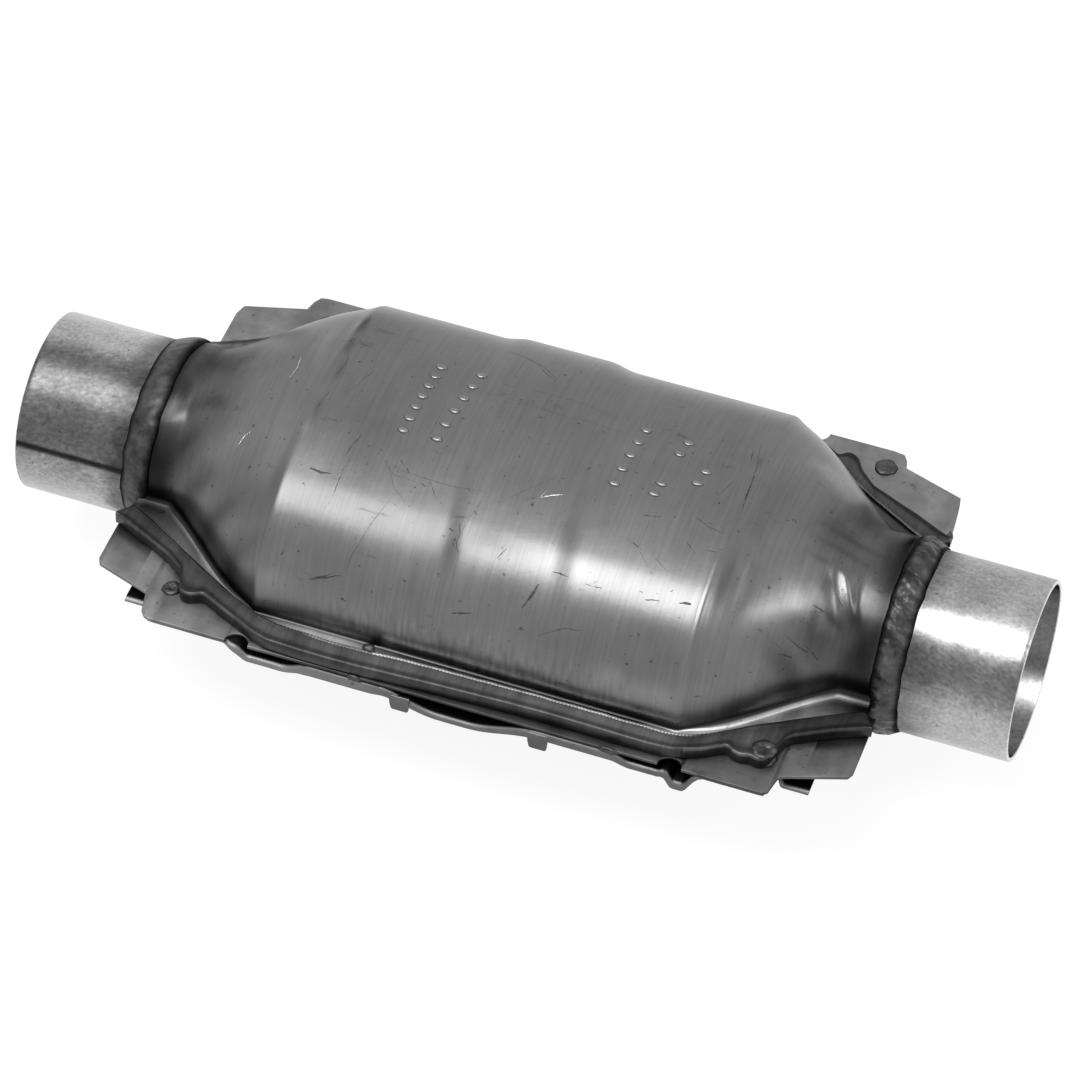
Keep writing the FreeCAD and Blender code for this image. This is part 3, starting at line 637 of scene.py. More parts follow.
def flangeTones(x, end, footShadeTone):
    # painted highlight and painted shade along the front flange, with some random rubbing
    surfaceTone = flange["backTone"]
    if end < 0:
        surfaceTone = alongLine(flange["tones"], x) * (1 + 0.25 * wobble(x, 0, 0, 5, 65))
    # painted shade gathers in the corner at the foot
    last = surfaceTone * blendValue(0.35, 1.4, smoothRise(62, 70, abs(x)))
    turns, reach = flange["footTurns"], 0.5 if x > 0 else 0.2
    corner = [blendValue(last, footShadeTone * 0.9, smoothRise(-0.2, reach, turn / turns))
              for turn in range(1, turns)]
    return [surfaceTone * tone for tone in flange["placeTones"]] + [last] + corner


def wallTone(x, y, z, foot, footShadeTone, footShadeReach):
    # painted shade low on the wall, rising from the foot
    start = flange["level"] + foot - 1.0
    end = start + 1.0 + footShadeReach * (1 + 0.3 * wobble(x, y, 0, 3, 63))
    tone = blendValue(footShadeTone, 1.0, smoothRise(start, end, z))
    comb = (1 - smoothRise(6, 20, z)) * (1 - smoothRise(40, 66, abs(x)))
    strokes = flange["combMarks"]
    if y < 0:
        strokes += flange["frontCombMarks"] * smoothRise(-50, -25, x) * (1 - smoothRise(15, 40, x))
    return tone * (1 + strokes * comb * wobble(x, 0.2 * z, y / 90, 0.9, 64))


def buildHalfSkin(name, side, node):
    # outer skin of one pressed half with its flange; side is 1 above and -1 below the split
    rows = spread(-body["neckEnd"], body["neckEnd"], body["rowStep"])
    vertices, tones = [], []
    for x in rows:
        foot = footRadius(x)
        wall = ovalWall(sectionSizes(x), flange["level"] + foot, body["columns"])
        root = wall[0][0]
        footShadeTone, footShadeReach = alongLine(flange["footShadeTones"], x), alongLine(flange["footShadeReach"], x)
        back, front = [flangeEdge(x, end, side, root, foot) for end in (1, -1)]
        middle, middleTones = [], []
        for y, z, ny, nz in wall:
            tone = wallTone(x, y, z, foot, footShadeTone, footShadeReach)
            if side > 0:
                rise = upperRise(x, y, z, nz)
                # stains, together with painted highlights and painted shade
                tone *= stainAndLightTone(x, y)
            else:
                rise = dullness(x, y, -z, 2)
            middle.append((x, y + ny * rise, side * (z + nz * rise)))
            middleTones.append(tone)
        vertices += [place(*point) for point in back + middle + front[::-1]]
        tones += flangeTones(x, 1, footShadeTone) + middleTones + flangeTones(x, -1, footShadeTone)[::-1]
    piece = meshPiece(name, vertices, gridFaces(len(rows), len(vertices) // len(rows)), tones)
    turnOutward(piece, side)
    thicken(piece, body["wall"])
    keepSharp(piece, 50)
    finishPiece(piece, "shell_steel", metals["shellSteel"], node)


buildHalfSkin("upperShellSkin", 1, "upper_shell")
buildHalfSkin("lowerShellSkin", -1, "lower_shell")
print("shell halves pressed")

# Hem: the lower half's edge, folded up and over the upper half's flange

hem = {
    "step": 0.27,
    "endGap": 0.3,
    "top": 3.0,
    "fold": 1.0,
    "foldTurns": 6,
    "wall": 1.5,
    "innerRound": 0.25,
    "leastWidth": 1.2,
    "serration": 0.2,
    "serrationLength": 1.1,
    "shine": 14.0,                       # of the inner edge where it catches the light
    "backShine": 0.04,
    # (start, full, full, end, share of the shine) along the front
    "lit": ((-52, -46, 70, 76, 0.35), (-33, -26, 70, 76, 0.65)),
    "innerDrift": 0.25,                  # unevenness of the edges, the top and the rubbing
    "outerDrift": 0.16,
    "sagDrift": 0.16,
    "rubDrift": 0.25,
    "sag": 0.12,
    "hiddenTone": 0.3,
    # (share of the width, share of the tone) over the top of the fold
    "topTones": ((0.15, 0.75), (0.4, 1.0), (0.65, 1.0), (0.88, 0.4)),
    # (x, tone) along the top of the fold
    "frontTones": (
        (-122, 1.2), (-80, 1.25), (-64, 2), (-50, 1.5), (-40, 1.8), (62, 2.1), (70, 1.5), (90, 1.6),
        (100, 0.85), (122, 0.7),
    ),
    "backTones": ((-122, 2.1), (-78, 2), (-72, 1), (122, 1)),
}


def hemShine(x, end):
    return hem["backShine"] if end > 0 else max(stretchSum(hem["lit"], x), 0.0)


def hemSection(x, end):
    # points (across, height, tone) round the fold at x
    straight = 1 - smoothRise(62, 78, abs(x)) * (0.0 if x > 0 else 1.0) - smoothRise(70, 86, x)
    teeth = math.sin(2 * math.pi * x / hem["serrationLength"] + 2.5 * wobble(x, end, 0, 6, 5))
    inner = innerLine(x, end) + hem["serration"] * teeth * max(straight, 0.0)
    inner += hem["innerDrift"] * wobble(x, 3 * end, 0, 7, 4)
    outer = outerLine(x, end) + hem["outerDrift"] * wobble(x, 5 * end, 0, 8, 6)
    fold = min(hem["fold"], max(outer - inner, hem["leastWidth"]) / 2.6)
    bottom = -flange["level"]
    sag = hem["sagDrift"] * wobble(x, 7 * end, 0, 16, 8) - hem["sag"]
    surfaceTone = 1 + hem["rubDrift"] * wobble(x, 11 * end, 0, 5, 9)
    plain = surfaceTone * alongLine(hem["backTones" if end > 0 else "frontTones"], x)
    bright = plain + hem["shine"] * hemShine(x, end) * max(surfaceTone, 0.2) * (0.78 + 0.22 * teeth)
    lip, hidden = inner + hem["innerRound"], hem["hiddenTone"]
    line = [(inner, flange["level"] + 0.02, hidden), (inner, hem["top"] - hem["innerRound"] + sag, bright),
            (lip, hem["top"] + sag, bright)]
    for share, tone in [(0.1, bright)] + [(share, tone * plain) for share, tone in hem["topTones"]]:
        line.append((blendValue(lip, outer - fold, share), hem["top"] + sag * (1 - share), tone))
    turns = hem["foldTurns"]
    sideTone = 0.45 if abs(x) < 72 else 1.0
    for turn in range(turns + 1):
        angle = math.pi / 2 * (1 - turn / turns)
        line.append((outer - fold + fold * math.cos(angle), hem["top"] - fold + fold * math.sin(angle),
                     plain * blendValue(0.5, sideTone, smoothRise(0.0, 0.6, turn / turns))))
    underTone = 1.1 if abs(x + 45) < 20 else 0.75
    for turn in range(turns + 1):
        angle = -math.pi / 2 * turn / turns
        line.append((outer - fold + fold * math.cos(angle), bottom + fold + fold * math.sin(angle) + 0.01,
                     underTone if turn < turns - 1 else hidden))
    fill = min(outer - hem["wall"] - 0.1, outer - fold)
    return line + [(fill, bottom + hem["wall"] - 0.05, hidden), (fill, flange["level"], hidden)]


def buildHem(name, end):
    sections, tones = [], []
    for x in spread(-flange["end"] + hem["endGap"], flange["end"] - hem["endGap"], hem["step"]):
        line = hemSection(x, end)
        sections.append([place(x, end * y, z) for y, z, _ in line])
        tones += [tone for _, _, tone in line]
    piece = sweptPiece(name, sections, tones)
    keepSharp(piece, 55)
    finishPiece(piece, "shell_steel", metals["stripSteel"], "lower_shell")


buildHem("hemFront", -1)
buildHem("hemBack", 1)
print("hem folded")

# Pipes

pipe = {
    "outer": 28.575,
    "wall": 1.5,
    "start": 104.0,
    "end": 161.07,
    "turns": 240,
    "rowStep": 1.3,
    "edge": 0.28,
    "edgeTone": 1.5,
    "seamAngle": 75.0,
    "seamWidth": 1.15,
    "seamDepth": 0.35,
    "insideSeamDepth": 0.25,
    "seamTone": 0.03,
    "sootSpan": (126.5, 134.0),
    "outletSoot": 8,                     # how much further the soot reaches on the outlet's front
    "dullness": 0.07,
    "inside": 0.28,
    "paintedReflectionAngle": 206,                    # a painted reflection inside the outlet's mouth
    "paintedReflectionWidth": 9,
    # (angle from the top toward the front, tone) round each tube: mill scale with painted highlight and
    # painted reflection bands
    "inletTones": (
        (-60, 1), (-20, 0.95), (-5, 0.85), (4, 0.45), (10, 0.26), (16, 0.25), (22, 0.2), (30, 0.17),
        (38, 0.26), (46, 0.3), (55, 0.25), (68, 0.25), (74, 0.3), (78, 0.5), (84, 0.62), (92, 0.75),
        (110, 0.9), (160, 1),
    ),
    "outletTones": (
        (-60, 0.85), (-20, 0.75), (-5, 0.7), (10, 0.72), (20, 0.76), (32, 0.9), (37, 0.7), (44, 0.42),
        (52, 0.33), (62, 0.36), (70, 0.55), (80, 0.9), (100, 1), (160, 1),
    ),
}


def scaleAndReflectionTone(x, degrees, way, seam):
    # mill scale and painted reflections on the outside, sooty beside the weld bead and dark in the seam
    drift = 5 * wobble(x, degrees / 2, way, 12, 71) + 2 * wobble(x, degrees / 2, way, 2.4, 72)
    tone = alongLine(pipe["inletTones" if way < 0 else "outletTones"], degrees + drift)
    tone *= 1 + 0.5 * wobble(x, degrees / 2, way, 0.9, 73) * (1 - smoothRise(0.5, 0.95, tone))
    start, end = pipe["sootSpan"]
    if way > 0:
        end += pipe["outletSoot"] * smoothRise(34, 44, degrees)
    near = smoothRise(start, end, x + 2.5 * wobble(x, degrees / 2, way, 6, 74))
    return blendValue(tone * blendValue(0.5, 1.0, near), pipe["seamTone"], seam)


def insideTone(x, degrees, way):
    glow = 0
    if way > 0:
        # painted reflection on the inside of the outlet's mouth
        glow = math.exp(-((degrees - pipe["paintedReflectionAngle"]) / pipe["paintedReflectionWidth"]) ** 2) * smoothRise(151, 156, x)
    return pipe["inside"] * (1 + 6 * glow) * (1 + 0.3 * wobble(x, degrees / 2, way, 5, 75))


def buildPipe(name, way, node):
    sections, tones = [], []
    outer, inner, lip = pipe["outer"], pipe["outer"] - pipe["wall"], pipe["end"] - pipe["edge"]
    profile = [(pipe["start"], outer)] + [(x, outer) for x in spread(pipe["start"] + 1, lip, pipe["rowStep"])]
    outside = len(profile)
    profile += [(pipe["end"], outer - pipe["edge"]), (pipe["end"], inner + pipe["edge"])]
    profile += [(x, inner) for x in spread(lip, pipe["start"], pipe["rowStep"])]
    for turn in range(pipe["turns"]):
        angle = 2 * math.pi * turn / pipe["turns"]
        degrees = (math.degrees(angle) + 90) % 360 - 90
        across = math.radians(degrees - pipe["seamAngle"]) * outer
        seam = math.exp(-(across / pipe["seamWidth"]) ** 4) if way < 0 else 0
        section = []
        for number, (x, r) in enumerate(profile):
            if number < outside:
                r += pipe["dullness"] * (wobble(x, 30 * math.cos(angle), 30 * math.sin(angle), 14, 3) - 0.6)
                r -= pipe["seamDepth"] * seam
                tone = scaleAndReflectionTone(x, degrees, way, seam)
            elif number < outside + 2:
                tone = pipe["edgeTone"]
            else:
                r -= pipe["insideSeamDepth"] * seam
                tone = insideTone(x, degrees, way)
            section.append(place(way * x, -r * math.sin(angle), r * math.cos(angle)))
            tones.append(tone)
        sections.append(section)
    piece = ringPiece(name, sections, tones)
    keepSharp(piece, 50)
    finishPiece(piece, "pipe_steel", metals["pipeSteel"], node)


buildPipe("inletPipeTube", -1, "inlet_pipe")
buildPipe("outletPipeTube", 1, "outlet_pipe")

# Weld beads

bead = {
    "turns": 400,
    "steps": 24,
    "inlet": (115.6, 125.6),             # start and end
    "outlet": (117.2, 126.6),
    "inletLumps": 0.22,                  # the inlet's bead is the smoother one
    "outletLumps": 1.0,
    "inletDome": 0.45,                   # a lower number makes a fuller dome
    "outletDome": 0.6,
    "crest": 1.35,
    "ripple": 0.14,
    "ripples": 44,
    "rough": 0.42,
    "fineRough": 0.38,
    "hiddenTone": 0.3,
}


def buildBead(name, way, end):
    start, stop = bead[end]
    lumps = bead[end + "Lumps"]
    sections, tones = [], []
    for turn in range(bead["turns"]):
        angle = 2 * math.pi * turn / bead["turns"]
        sx, sz = math.cos(angle), math.sin(angle)
        first = start + 0.5 * wobble(30 * sx, 30 * sz, way * 9, 6, 11)
        last = stop + 0.45 * wobble(30 * sx, 30 * sz, way * 9, 6, 12)
        section = []
        for step in range(bead["steps"] + 1):
            share = step / bead["steps"]
            x = blendValue(first, last, share)
            base = blendValue(body["neckRadius"], pipe["outer"], smoothRise(0.15, 0.95, share)) - 0.2
            dome = math.sin(math.pi * share) ** bead[end + "Dome"]
            wave = bead["ripple"] * math.sin(bead["ripples"] * angle + 3 * math.cos(math.pi * share)) * lumps
            lump = bead["rough"] * lumps * wobble(x * way, 30 * sx, 30 * sz, 2.6, 12)
            lump += bead["fineRough"] * lumps * wobble(x * way, 30 * sx, 30 * sz, 1.1, 13)
            r = base + dome * (bead["crest"] + wave + lump)
            section.append(place(way * x, -r * sz, r * sx))
            patch = 1 + 0.8 * wobble(x * way, 30 * sx, 30 * sz, 4.5, 14) * (1.0 if way > 0 else 0.3)
            # painted shade toward both toes of the bead and low on its flanks, where it meets the neck and
            # the pipe
            paintedShade = blendValue(0.3, 1.0, smoothRise(0.05, 0.4, share))
            paintedShade *= blendValue(1.0, 0.5, smoothRise(0.75, 0.95, share))
            tones.append(patch * paintedShade * blendValue(0.2, 0.95, smoothRise(0.2, 0.8, dome)))
        # the bead's back lies on the pipe
        for share in (0.7, 0.3):
            r = pipe["outer"] + 0.02
            section.append(place(way * blendValue(first, last, share), -r * sz, r * sx))
            tones.append(bead["hiddenTone"])
        sections.append(section)
    finishPiece(ringPiece(name, sections, tones), "weld_steel", metals["weldSteel"], end + "_weld")


buildBead("inletWeldBead", -1, "inlet")
buildBead("outletWeldBead", 1, "outlet")
print("pipes and beads turned")

# Rails of the heat shield

rail = {
    "top": -1.5,
    "thickness": 1.2,
    "edge": 0.3,
    "end": 121.4,
    "rowStep": 0.5,
    "notchPlace": 69.3,
    "notchRadius": 3.8,
    "notchRowStep": 0.25,
    "step": 100.5,                       # where the plate steps in toward its end
    "stepRowStep": 0.2,
    "darkTone": 0.2,                     # painted shade along the middle stretch, beside the vent
    "frontTones": (
        (-122, 0.66), (-104, 0.64), (-100, 0.85), (-98, 0.85), (-96, 0.55), (-90, 0.58), (-78, 0.42),
        (84, 0.3), (98, 0.32), (102, 0.46), (122, 0.5),
    ),
    "backTone": 0.8,
    # half widths along the part, from the inlet end to the outlet end
    "front": (
        (-121.4, 55.6), (-120.4, 57.6), (-102.6, 63.6), (-101.2, 70.6), (-99.6, 72.6), (-98, 73.1),
        (98.4, 73.1), (99.8, 72), (100.9, 66), (101.8, 65.1), (120.4, 58.4), (121.4, 56.4),
    ),
    "back": (
        (-121.4, 57.6), (-120.2, 61.4), (-100.9, 67.2), (-99.9, 71), (-98.4, 73.4), (-96, 73.9), (94, 73.9),
        (97.6, 73.4), (99.2, 71), (99.8, 68.2), (119.6, 61.8), (120.6, 54), (121.4, 44),
    ),
    "inner": ((-121.4, 33.5), (-108, 33.5), (-69, 63.2), (73, 63.2), (108, 33.5), (121.4, 33.5)),
}


def buildRail(name, side, node):
    edge, top, bottom = rail["edge"], rail["top"], rail["top"] - rail["thickness"]
    radius = rail["notchRadius"]
    rows = set(spread(-rail["end"], rail["end"], rail["rowStep"]))
    for sign in (-1, 1):
        notch, step = sign * rail["notchPlace"], sign * rail["step"]
        rows |= set(spread(notch - radius, notch + radius, rail["notchRowStep"]))
        rows |= set(spread(step - 3, step + 3, rail["stepRowStep"]))
    sections, tones = [], []
    for x in sorted(rows):
        outer = alongLine(rail["back" if side > 0 else "front"], x)
        outer -= math.sqrt(max(radius ** 2 - (abs(x) - rail["notchPlace"]) ** 2, 0))
        inner = alongLine(rail["inner"], x)
        corners = [
            (inner + edge, bottom), (inner, bottom + edge), (inner, top - edge), (inner + edge, top),
            (outer - edge, top), (outer - 0.3 * edge, top - 0.3 * edge), (outer, top - edge),
            (outer, bottom + edge), (outer - 0.3 * edge, bottom + 0.3 * edge), (outer - edge, bottom)]
        sections.append([place(x, side * y, z) for y, z in corners])
        # painted shade along the middle of the rail
        paintedShade = smoothRise(-60, -40, x) - smoothRise(44, 60, x)
        plain = rail["backTone"] if side > 0 else alongLine(rail["frontTones"], x)
        tone = blendValue(plain, rail["darkTone"], paintedShade) * (1 + 0.2 * wobble(x, side, 0, 9, 81))
        tones += [tone] * len(corners)
    piece = sweptPiece(name, sections, tones)
    keepSharp(piece, 50, flatArea=5)
    finishPiece(piece, "shield_steel", metals["railSteel"], node)


buildRail("leftRailPlate", 1, "left_shield_rail")
buildRail("rightRailPlate", -1, "right_shield_rail")
print("rails cut")

# Pan of the heat shield

pan = {
    "thickness": 1.0,
    "growth": 3.3,
    "level": -3.72,                      # underside of the lip
    "bend": 1.6,
    "bendTurns": 5,
    "lipHalfWidth": 73.1,                # inside of the turned edge
    "tuckedHalfWidth": 71.6,
    "tuckStart": (-72.0, 78.0),
    "lipRound": 0.8,
    "lipTone": 0.5,
    "inletLipShare": 1.35,               # the lip is cleaner toward the inlet
    "pocketShadeTone": 0.06,                  # painted shade on the covered upper side of the lip, under the rails
    "undersideTone": 0.8,
    "end": 110.0,
    "tabStart": 99.0,
    "tabHalfWidth": 62.4,
    "tabDrop": 5.0,
    "rowStep": 1.0,
    "columns": 96,
    "soleInlet": 50.0,
    "soleOutlet": 54.0,
    "soleHalfWidth": 28.0,
    "soleRamp": 2.2,
    "floorGap": 0.02,
    # (start, full, full, end, depth) of the dips in the lip
    "dips": (
        (-70, -65.5, -55, -45, 3), (-24, -4, 5, 29, 5.1), (51, 57, 66, 69, 2), (67, 70.5, 73.5, 78, 4.9),
    ),
    # (start, full, full, end, height) of the stretch whose edge is turned down
    "turned": (
        (-50, -46, -26, -20, 0.9), (-72, -69, 75, 78, 1.3), (-70, -65.5, -55, -48, -0.6),
        (-24, -4, 5, 29, -0.8), (51, 57, 66, 69, -0.6),
    ),
    "leastTurned": 0.2,
}


def panLip(x):
    # half width of the lip: out over the sides, tucked under the rails toward the ends
    start, end = pan["tuckStart"]
    tucked = 1 - smoothRise(start - 2, start + 2, x) + smoothRise(end - 2, end + 2, x)
    cut = smoothRise(pan["tabStart"] - 0.6, pan["tabStart"] + 0.4, abs(x))
    reach = blendValue(pan["lipHalfWidth"], pan["tuckedHalfWidth"], tucked)
    reach += 0.1 * (wobble(x, 1, 0, 9, 21) - 1)
    return blendValue(reach, pan["tabHalfWidth"], cut)


def panEdge(x, root, height):
    # points (y, z) from the turned edge of the lip in to the wall
    turned = pan["leastTurned"] + stretchSum(pan["turned"], x)
    bend = pan["bend"]
    reach = max(panLip(x), root + bend + 0.5)
    lip = reach - pan["lipRound"]
    edge = [(reach, -height - turned), (reach - 0.02, -height - 0.5 * turned), (reach - 0.3, -height - 0.08),
            (lip, -height)]
    edge += [(blendValue(lip, root + bend, share), -height) for share in (0.35, 0.7, 1.0)]
    for turn in range(1, pan["bendTurns"]):
        angle = math.pi / 2 * turn / pan["bendTurns"]
        edge.append((root + bend - bend * math.sin(angle), -height - bend + bend * math.cos(angle)))
    return edge


def panFloor(x, y, z):
    # the rounded bottom, flattened over the sole
    inside = min(x + pan["soleInlet"], pan["soleOutlet"] - x, pan["soleHalfWidth"] - abs(y))
    level = -z + 0.12 * wobble(x, y, z, 26, 22)
    low = -axisHeight + pan["floorGap"]
    return max(min(level, blendValue(level, low, smoothRise(-pan["soleRamp"], 0.0, inside))), low)


def buildPan():
    rows = spread(-pan["end"], pan["end"], pan["rowStep"])
    vertices, tones = [], []
    for x in rows:
        drop = stretchSum(pan["dips"], x)
        drop += pan["tabDrop"] * smoothRise(pan["tabStart"], pan["tabStart"] + 2.5, abs(x))
        height = -pan["level"] + drop
        wall = ovalWall(sectionSizes(x, pan["growth"]), height + pan["bend"], pan["columns"])
        edge = panEdge(x, wall[0][0], height)
        middle = [(y, panFloor(x, y, z)) for y, z, _, _ in wall]
        vertices += [place(x, y, z) for y, z in edge + middle + [(-y, z) for y, z in edge[::-1]]]
        lipTone = pan["lipTone"] * blendValue(pan["inletLipShare"], 1.0, smoothRise(-30, -18, x))
        lipTones = [lipTone] * 3 + [pan["pocketShadeTone"]] * (len(edge) - 3)
        tones += lipTones + [pan["pocketShadeTone"]] * len(middle) + lipTones[::-1]
    piece = meshPiece("shieldPanSheet", vertices, gridFaces(len(rows), len(vertices) // len(rows)), tones)
    turnOutward(piece, -1)
    thicken(piece, pan["thickness"])
    # the sheet's own points are its underside, which gets no painted shade
    for number in range(len(vertices)):
        piece.data.attributes["tone"].data[number].value = pan["undersideTone"]
    keepSharp(piece, 50)
    finishPiece(piece, "shield_steel", metals["panSteel"], "shield_pan")


buildPan()
print("pan drawn")

lug = {
    "places": (-16.2, 28.0),
    "outer": 74.1,
    "start": -3.9,
    "width": 6.6,
    "length": 6.4,
    "thickness": 1.0,
    "taper": 0.9,
    "softness": 0.2,
    "tone": 0.5,
}


def buildLugs():
    # short tongues bent down from the lip beside the vent
    vertices, faces = [], []
    outer = lug["outer"]
    for side in (1, -1):
        for middle in lug["places"]:
            drop = stretchSum(pan["dips"], middle)
            top = lug["start"] - 0.6 * drop
            bottom = top - lug["length"] + 0.35 * drop
            profile = [
                (outer - 0.5, top + 0.6, 0.0), (outer, top, 0.0), (outer - 0.1, (top + bottom) / 2, 0.2),
                (outer - 0.3, bottom + 0.8, 0.5), (outer - 0.5, bottom, lug["taper"])]
            base, count = len(vertices), 2 * len(profile)
            for way in (-1, 1):
                for y, z, taper in profile:
                    x = middle + way * (lug["width"] / 2 - taper)
                    vertices += [place(x, side * y, z), place(x, side * (y - lug["thickness"]), z)]
            for a in range(base, base + count - 2, 2):
                b = a + count
                faces += [(a, a + 2, b + 2, b), (a + 3, a + 1, b + 1, b + 3), (a, a + 1, a + 3, a + 2),
                          (b, b + 2, b + 3, b + 1)]
            last = base + count - 2
            faces += [(base, base + count, base + 1 + count, base + 1),
                      (last, last + 1, last + 1 + count, last + count)]
    piece = meshPiece("panLugs", vertices, faces, [lug["tone"]] * len(vertices))
    softenEdges(piece, lug["softness"], 40)
    keepSharp(piece, 40)
    finishPiece(piece, "shield_steel", metals["panSteel"], "shield_pan")


buildLugs()

# Weld buttons and tacks

puddle = {
    "rings": 9,
    "turns": 40,
    "rough": 0.22,
    # (x, y, radius, height, hollow) on the rails and on the hem
    "buttons": (
        (-95.8, -59.4, 3, 0.7, 0.6), (94.8, -60, 3.9, 0.9, 0.8), (93.8, 66, 3.6, 0.8, 0.3),
        (-92.6, 63.4, 2.8, 0.7, 0.4),
    ),
    "hemSpots": ((94.8, -60.3, 3.9, 0.5, 1.0),),
}


def buildPuddles(name, spots, level, *nodes):
    vertices, faces = [], []
    for x, y, radius, height, hollow in spots:

        def point(share, angle):
            edge = radius * (1 + 0.12 * wobble(math.cos(angle) * 2, math.sin(angle) * 2, x, 1.1, 31))
            r = edge * (1 - share) + 0.02
            dome = math.sin(math.pi / 2 * min(share * 2.6, 1.0)) - hollow * smoothRise(0.35, 0.9, share)
            px, py = x + r * math.cos(angle), y + r * math.sin(angle)
            rough = puddle["rough"] * wobble(px, py, 0, 0.9, 32) * smoothRise(0, 0.3, share)
            return place(px, py, level + height * dome + rough)

        addDome(vertices, faces, puddle["rings"], puddle["turns"], point, caps=2)
    finishPiece(meshPiece(name, vertices, faces), "weld_steel", metals["puddleSteel"], *nodes)


buildPuddles("cornerPuddles", puddle["buttons"], rail["top"] + 0.01, "corner_weld_buttons")
buildPuddles("hemCraters", puddle["hemSpots"], hem["top"] - 0.12)

tack = {
    "rings": 13,
    "turns": 20,
    "rough": 0.3,
    # (x, y, z, length, width, height) of lumps along the edges
    "places": (
        (-31, -73, -2.1, 4.6, 0.8, 1.1), (50, -73, -2.1, 6.5, 0.8, 1.1), (-31, 73.2, -2.1, 7, 0.7, 0.8),
        (49, 73.2, -2.1, 7, 0.7, 0.8), (-29.2, -64.6, 3.1, 4, 1.5, 1.2), (121.3, 42.2, 0.6, 2.2, 2.4, 2.4),
    ),
}


def buildTacks():
    vertices, faces = [], []
    for x, y, z, length, width, height in tack["places"]:

        def point(share, angle):
            dx, out = math.cos(math.pi * share), math.sin(math.pi * share)
            dy, dz = out * math.cos(angle), out * math.sin(angle)
            size = 1 + tack["rough"] * wobble(dx * 2 + x, dy * 2 + y, dz * 2, 1.2, 41)
            return place(x + dx * length / 2 * size, y + dy * width * size, z + dz * height * size)

        addDome(vertices, faces, tack["rings"], tack["turns"], point)
    piece = meshPiece("edgeTacks", vertices, faces)
    finishPiece(piece, "weld_steel", metals["puddleSteel"], "edge_tack_welds")


buildTacks()
print("welds laid")

# Bricks with open cells on both faces

brick = {
    "size": (55.7, 37.7, 34.2),          # half width, height, side radius
    "places": {"inlet": (-59, -5), "outlet": (9, 63)},
    "corners": 72,
    "pitch": 2.6,
    "wall": 0.45,
    "depth": 3.0,                        # of the open cells
    "rim": 0.6,
    "layerGap": 0.02,                    # the level walls stand back a little from the upright ones
}


def buildBrick(name, start, end, node):
    vertices, faces = [], []

    def quad(*points):
        base = len(vertices)
        vertices.extend(place(*point) for point in points)
        faces.append((base, base + 1, base + 2, base + 3))

    halfWidth, halfHeight = brick["size"][:2]
    half = brick["wall"] / 2
    upper = [(y, z) for y, z, _, _ in ovalWall(brick["size"], 0.0, brick["corners"])]
    outline = upper + [(-y, -z) for y, z in upper[1:-1]]
    for (y0, z0), (y1, z1) in zip(outline, outline[1:] + outline[:1]):
        quad((start, y0, z0), (end, y0, z0), (end, y1, z1), (start, y1, z1))
    steps = int(halfWidth // brick["pitch"]) + 1
    lines = [number * brick["pitch"] for number in range(-steps, steps + 1)]
    for face, inward in ((start, 1), (end, -1)):
        deep = face + inward * brick["depth"]
        base = len(vertices)
        vertices.extend(place(deep, y, z) for y, z in outline)
        faces.append(tuple(range(base, len(vertices)))[::inward])
        for y in lines:
            top = ovalHeight(brick["size"], y) if abs(y) < halfWidth - brick["rim"] else 0
            if top > 1:
                left, right = y - half, y + half
                quad((face, left, -top), (face, right, -top), (face, right, top), (face, left, top))
                for edge in (left, right):
                    quad((face, edge, -top), (deep, edge, -top), (deep, edge, top), (face, edge, top))
        near = face + inward * brick["layerGap"]
        for z in lines:
            if abs(z) < halfHeight - brick["rim"]:
                reach = max(y for y, height in upper if height >= abs(z) - 0.8)
                low, high = z - half, z + half
                quad((near, -reach, low), (near, reach, low), (near, reach, high), (near, -reach, high))
                for edge in (low, high):
                    quad((near, -reach, edge), (deep, -reach, edge), (deep, reach, edge), (near, reach, edge))
    piece = meshPiece(name, vertices, faces)
    shadeFaces(piece.data, False)
    finishPiece(piece, "brick_ceramic", metals["brickCeramic"], node)


for brickEnd, (start, end) in brick["places"].items():
    buildBrick(brickEnd + "BrickCells", start, end, brickEnd + "_brick")
print("bricks cut")

# Raised pips and the clearest scratches on the upper half

pips = {
    # (x, y) of both ends of each row, and its count
    "rows": (
        (-38.4, -11.4, -37, 18.2, 7), (-27.6, -11.2, -24.4, 19.4, 6), (28.8, -9.8, 30.6, 14.8, 5),
        (41.4, -9.6, 42.2, -5.2, 2), (43.4, 8.4, 44.2, 14.2, 2), (52.2, -1.4, 53.3, 4, 2),
    ),
    "length": 3.7,
    "width": 2.3,
    "height": 0.55,
    "sink": 0.02,
    "rings": 7,
    "turns": 20,
}


def upperPoint(x, y, lift):
    # the point over (x, y) on the upper half's skin, lifted off it
    sizes = sectionSizes(x)
    z = ovalHeight(sizes, y)
    slope = (ovalHeight(sizes, y + 0.1) - ovalHeight(sizes, y - 0.1)) / 0.2
    across, upward = -slope / math.hypot(1, slope), 1 / math.hypot(1, slope)
    rise = upperRise(x, y, z, upward) + lift
    return place(x, y + across * rise, z + upward * rise)


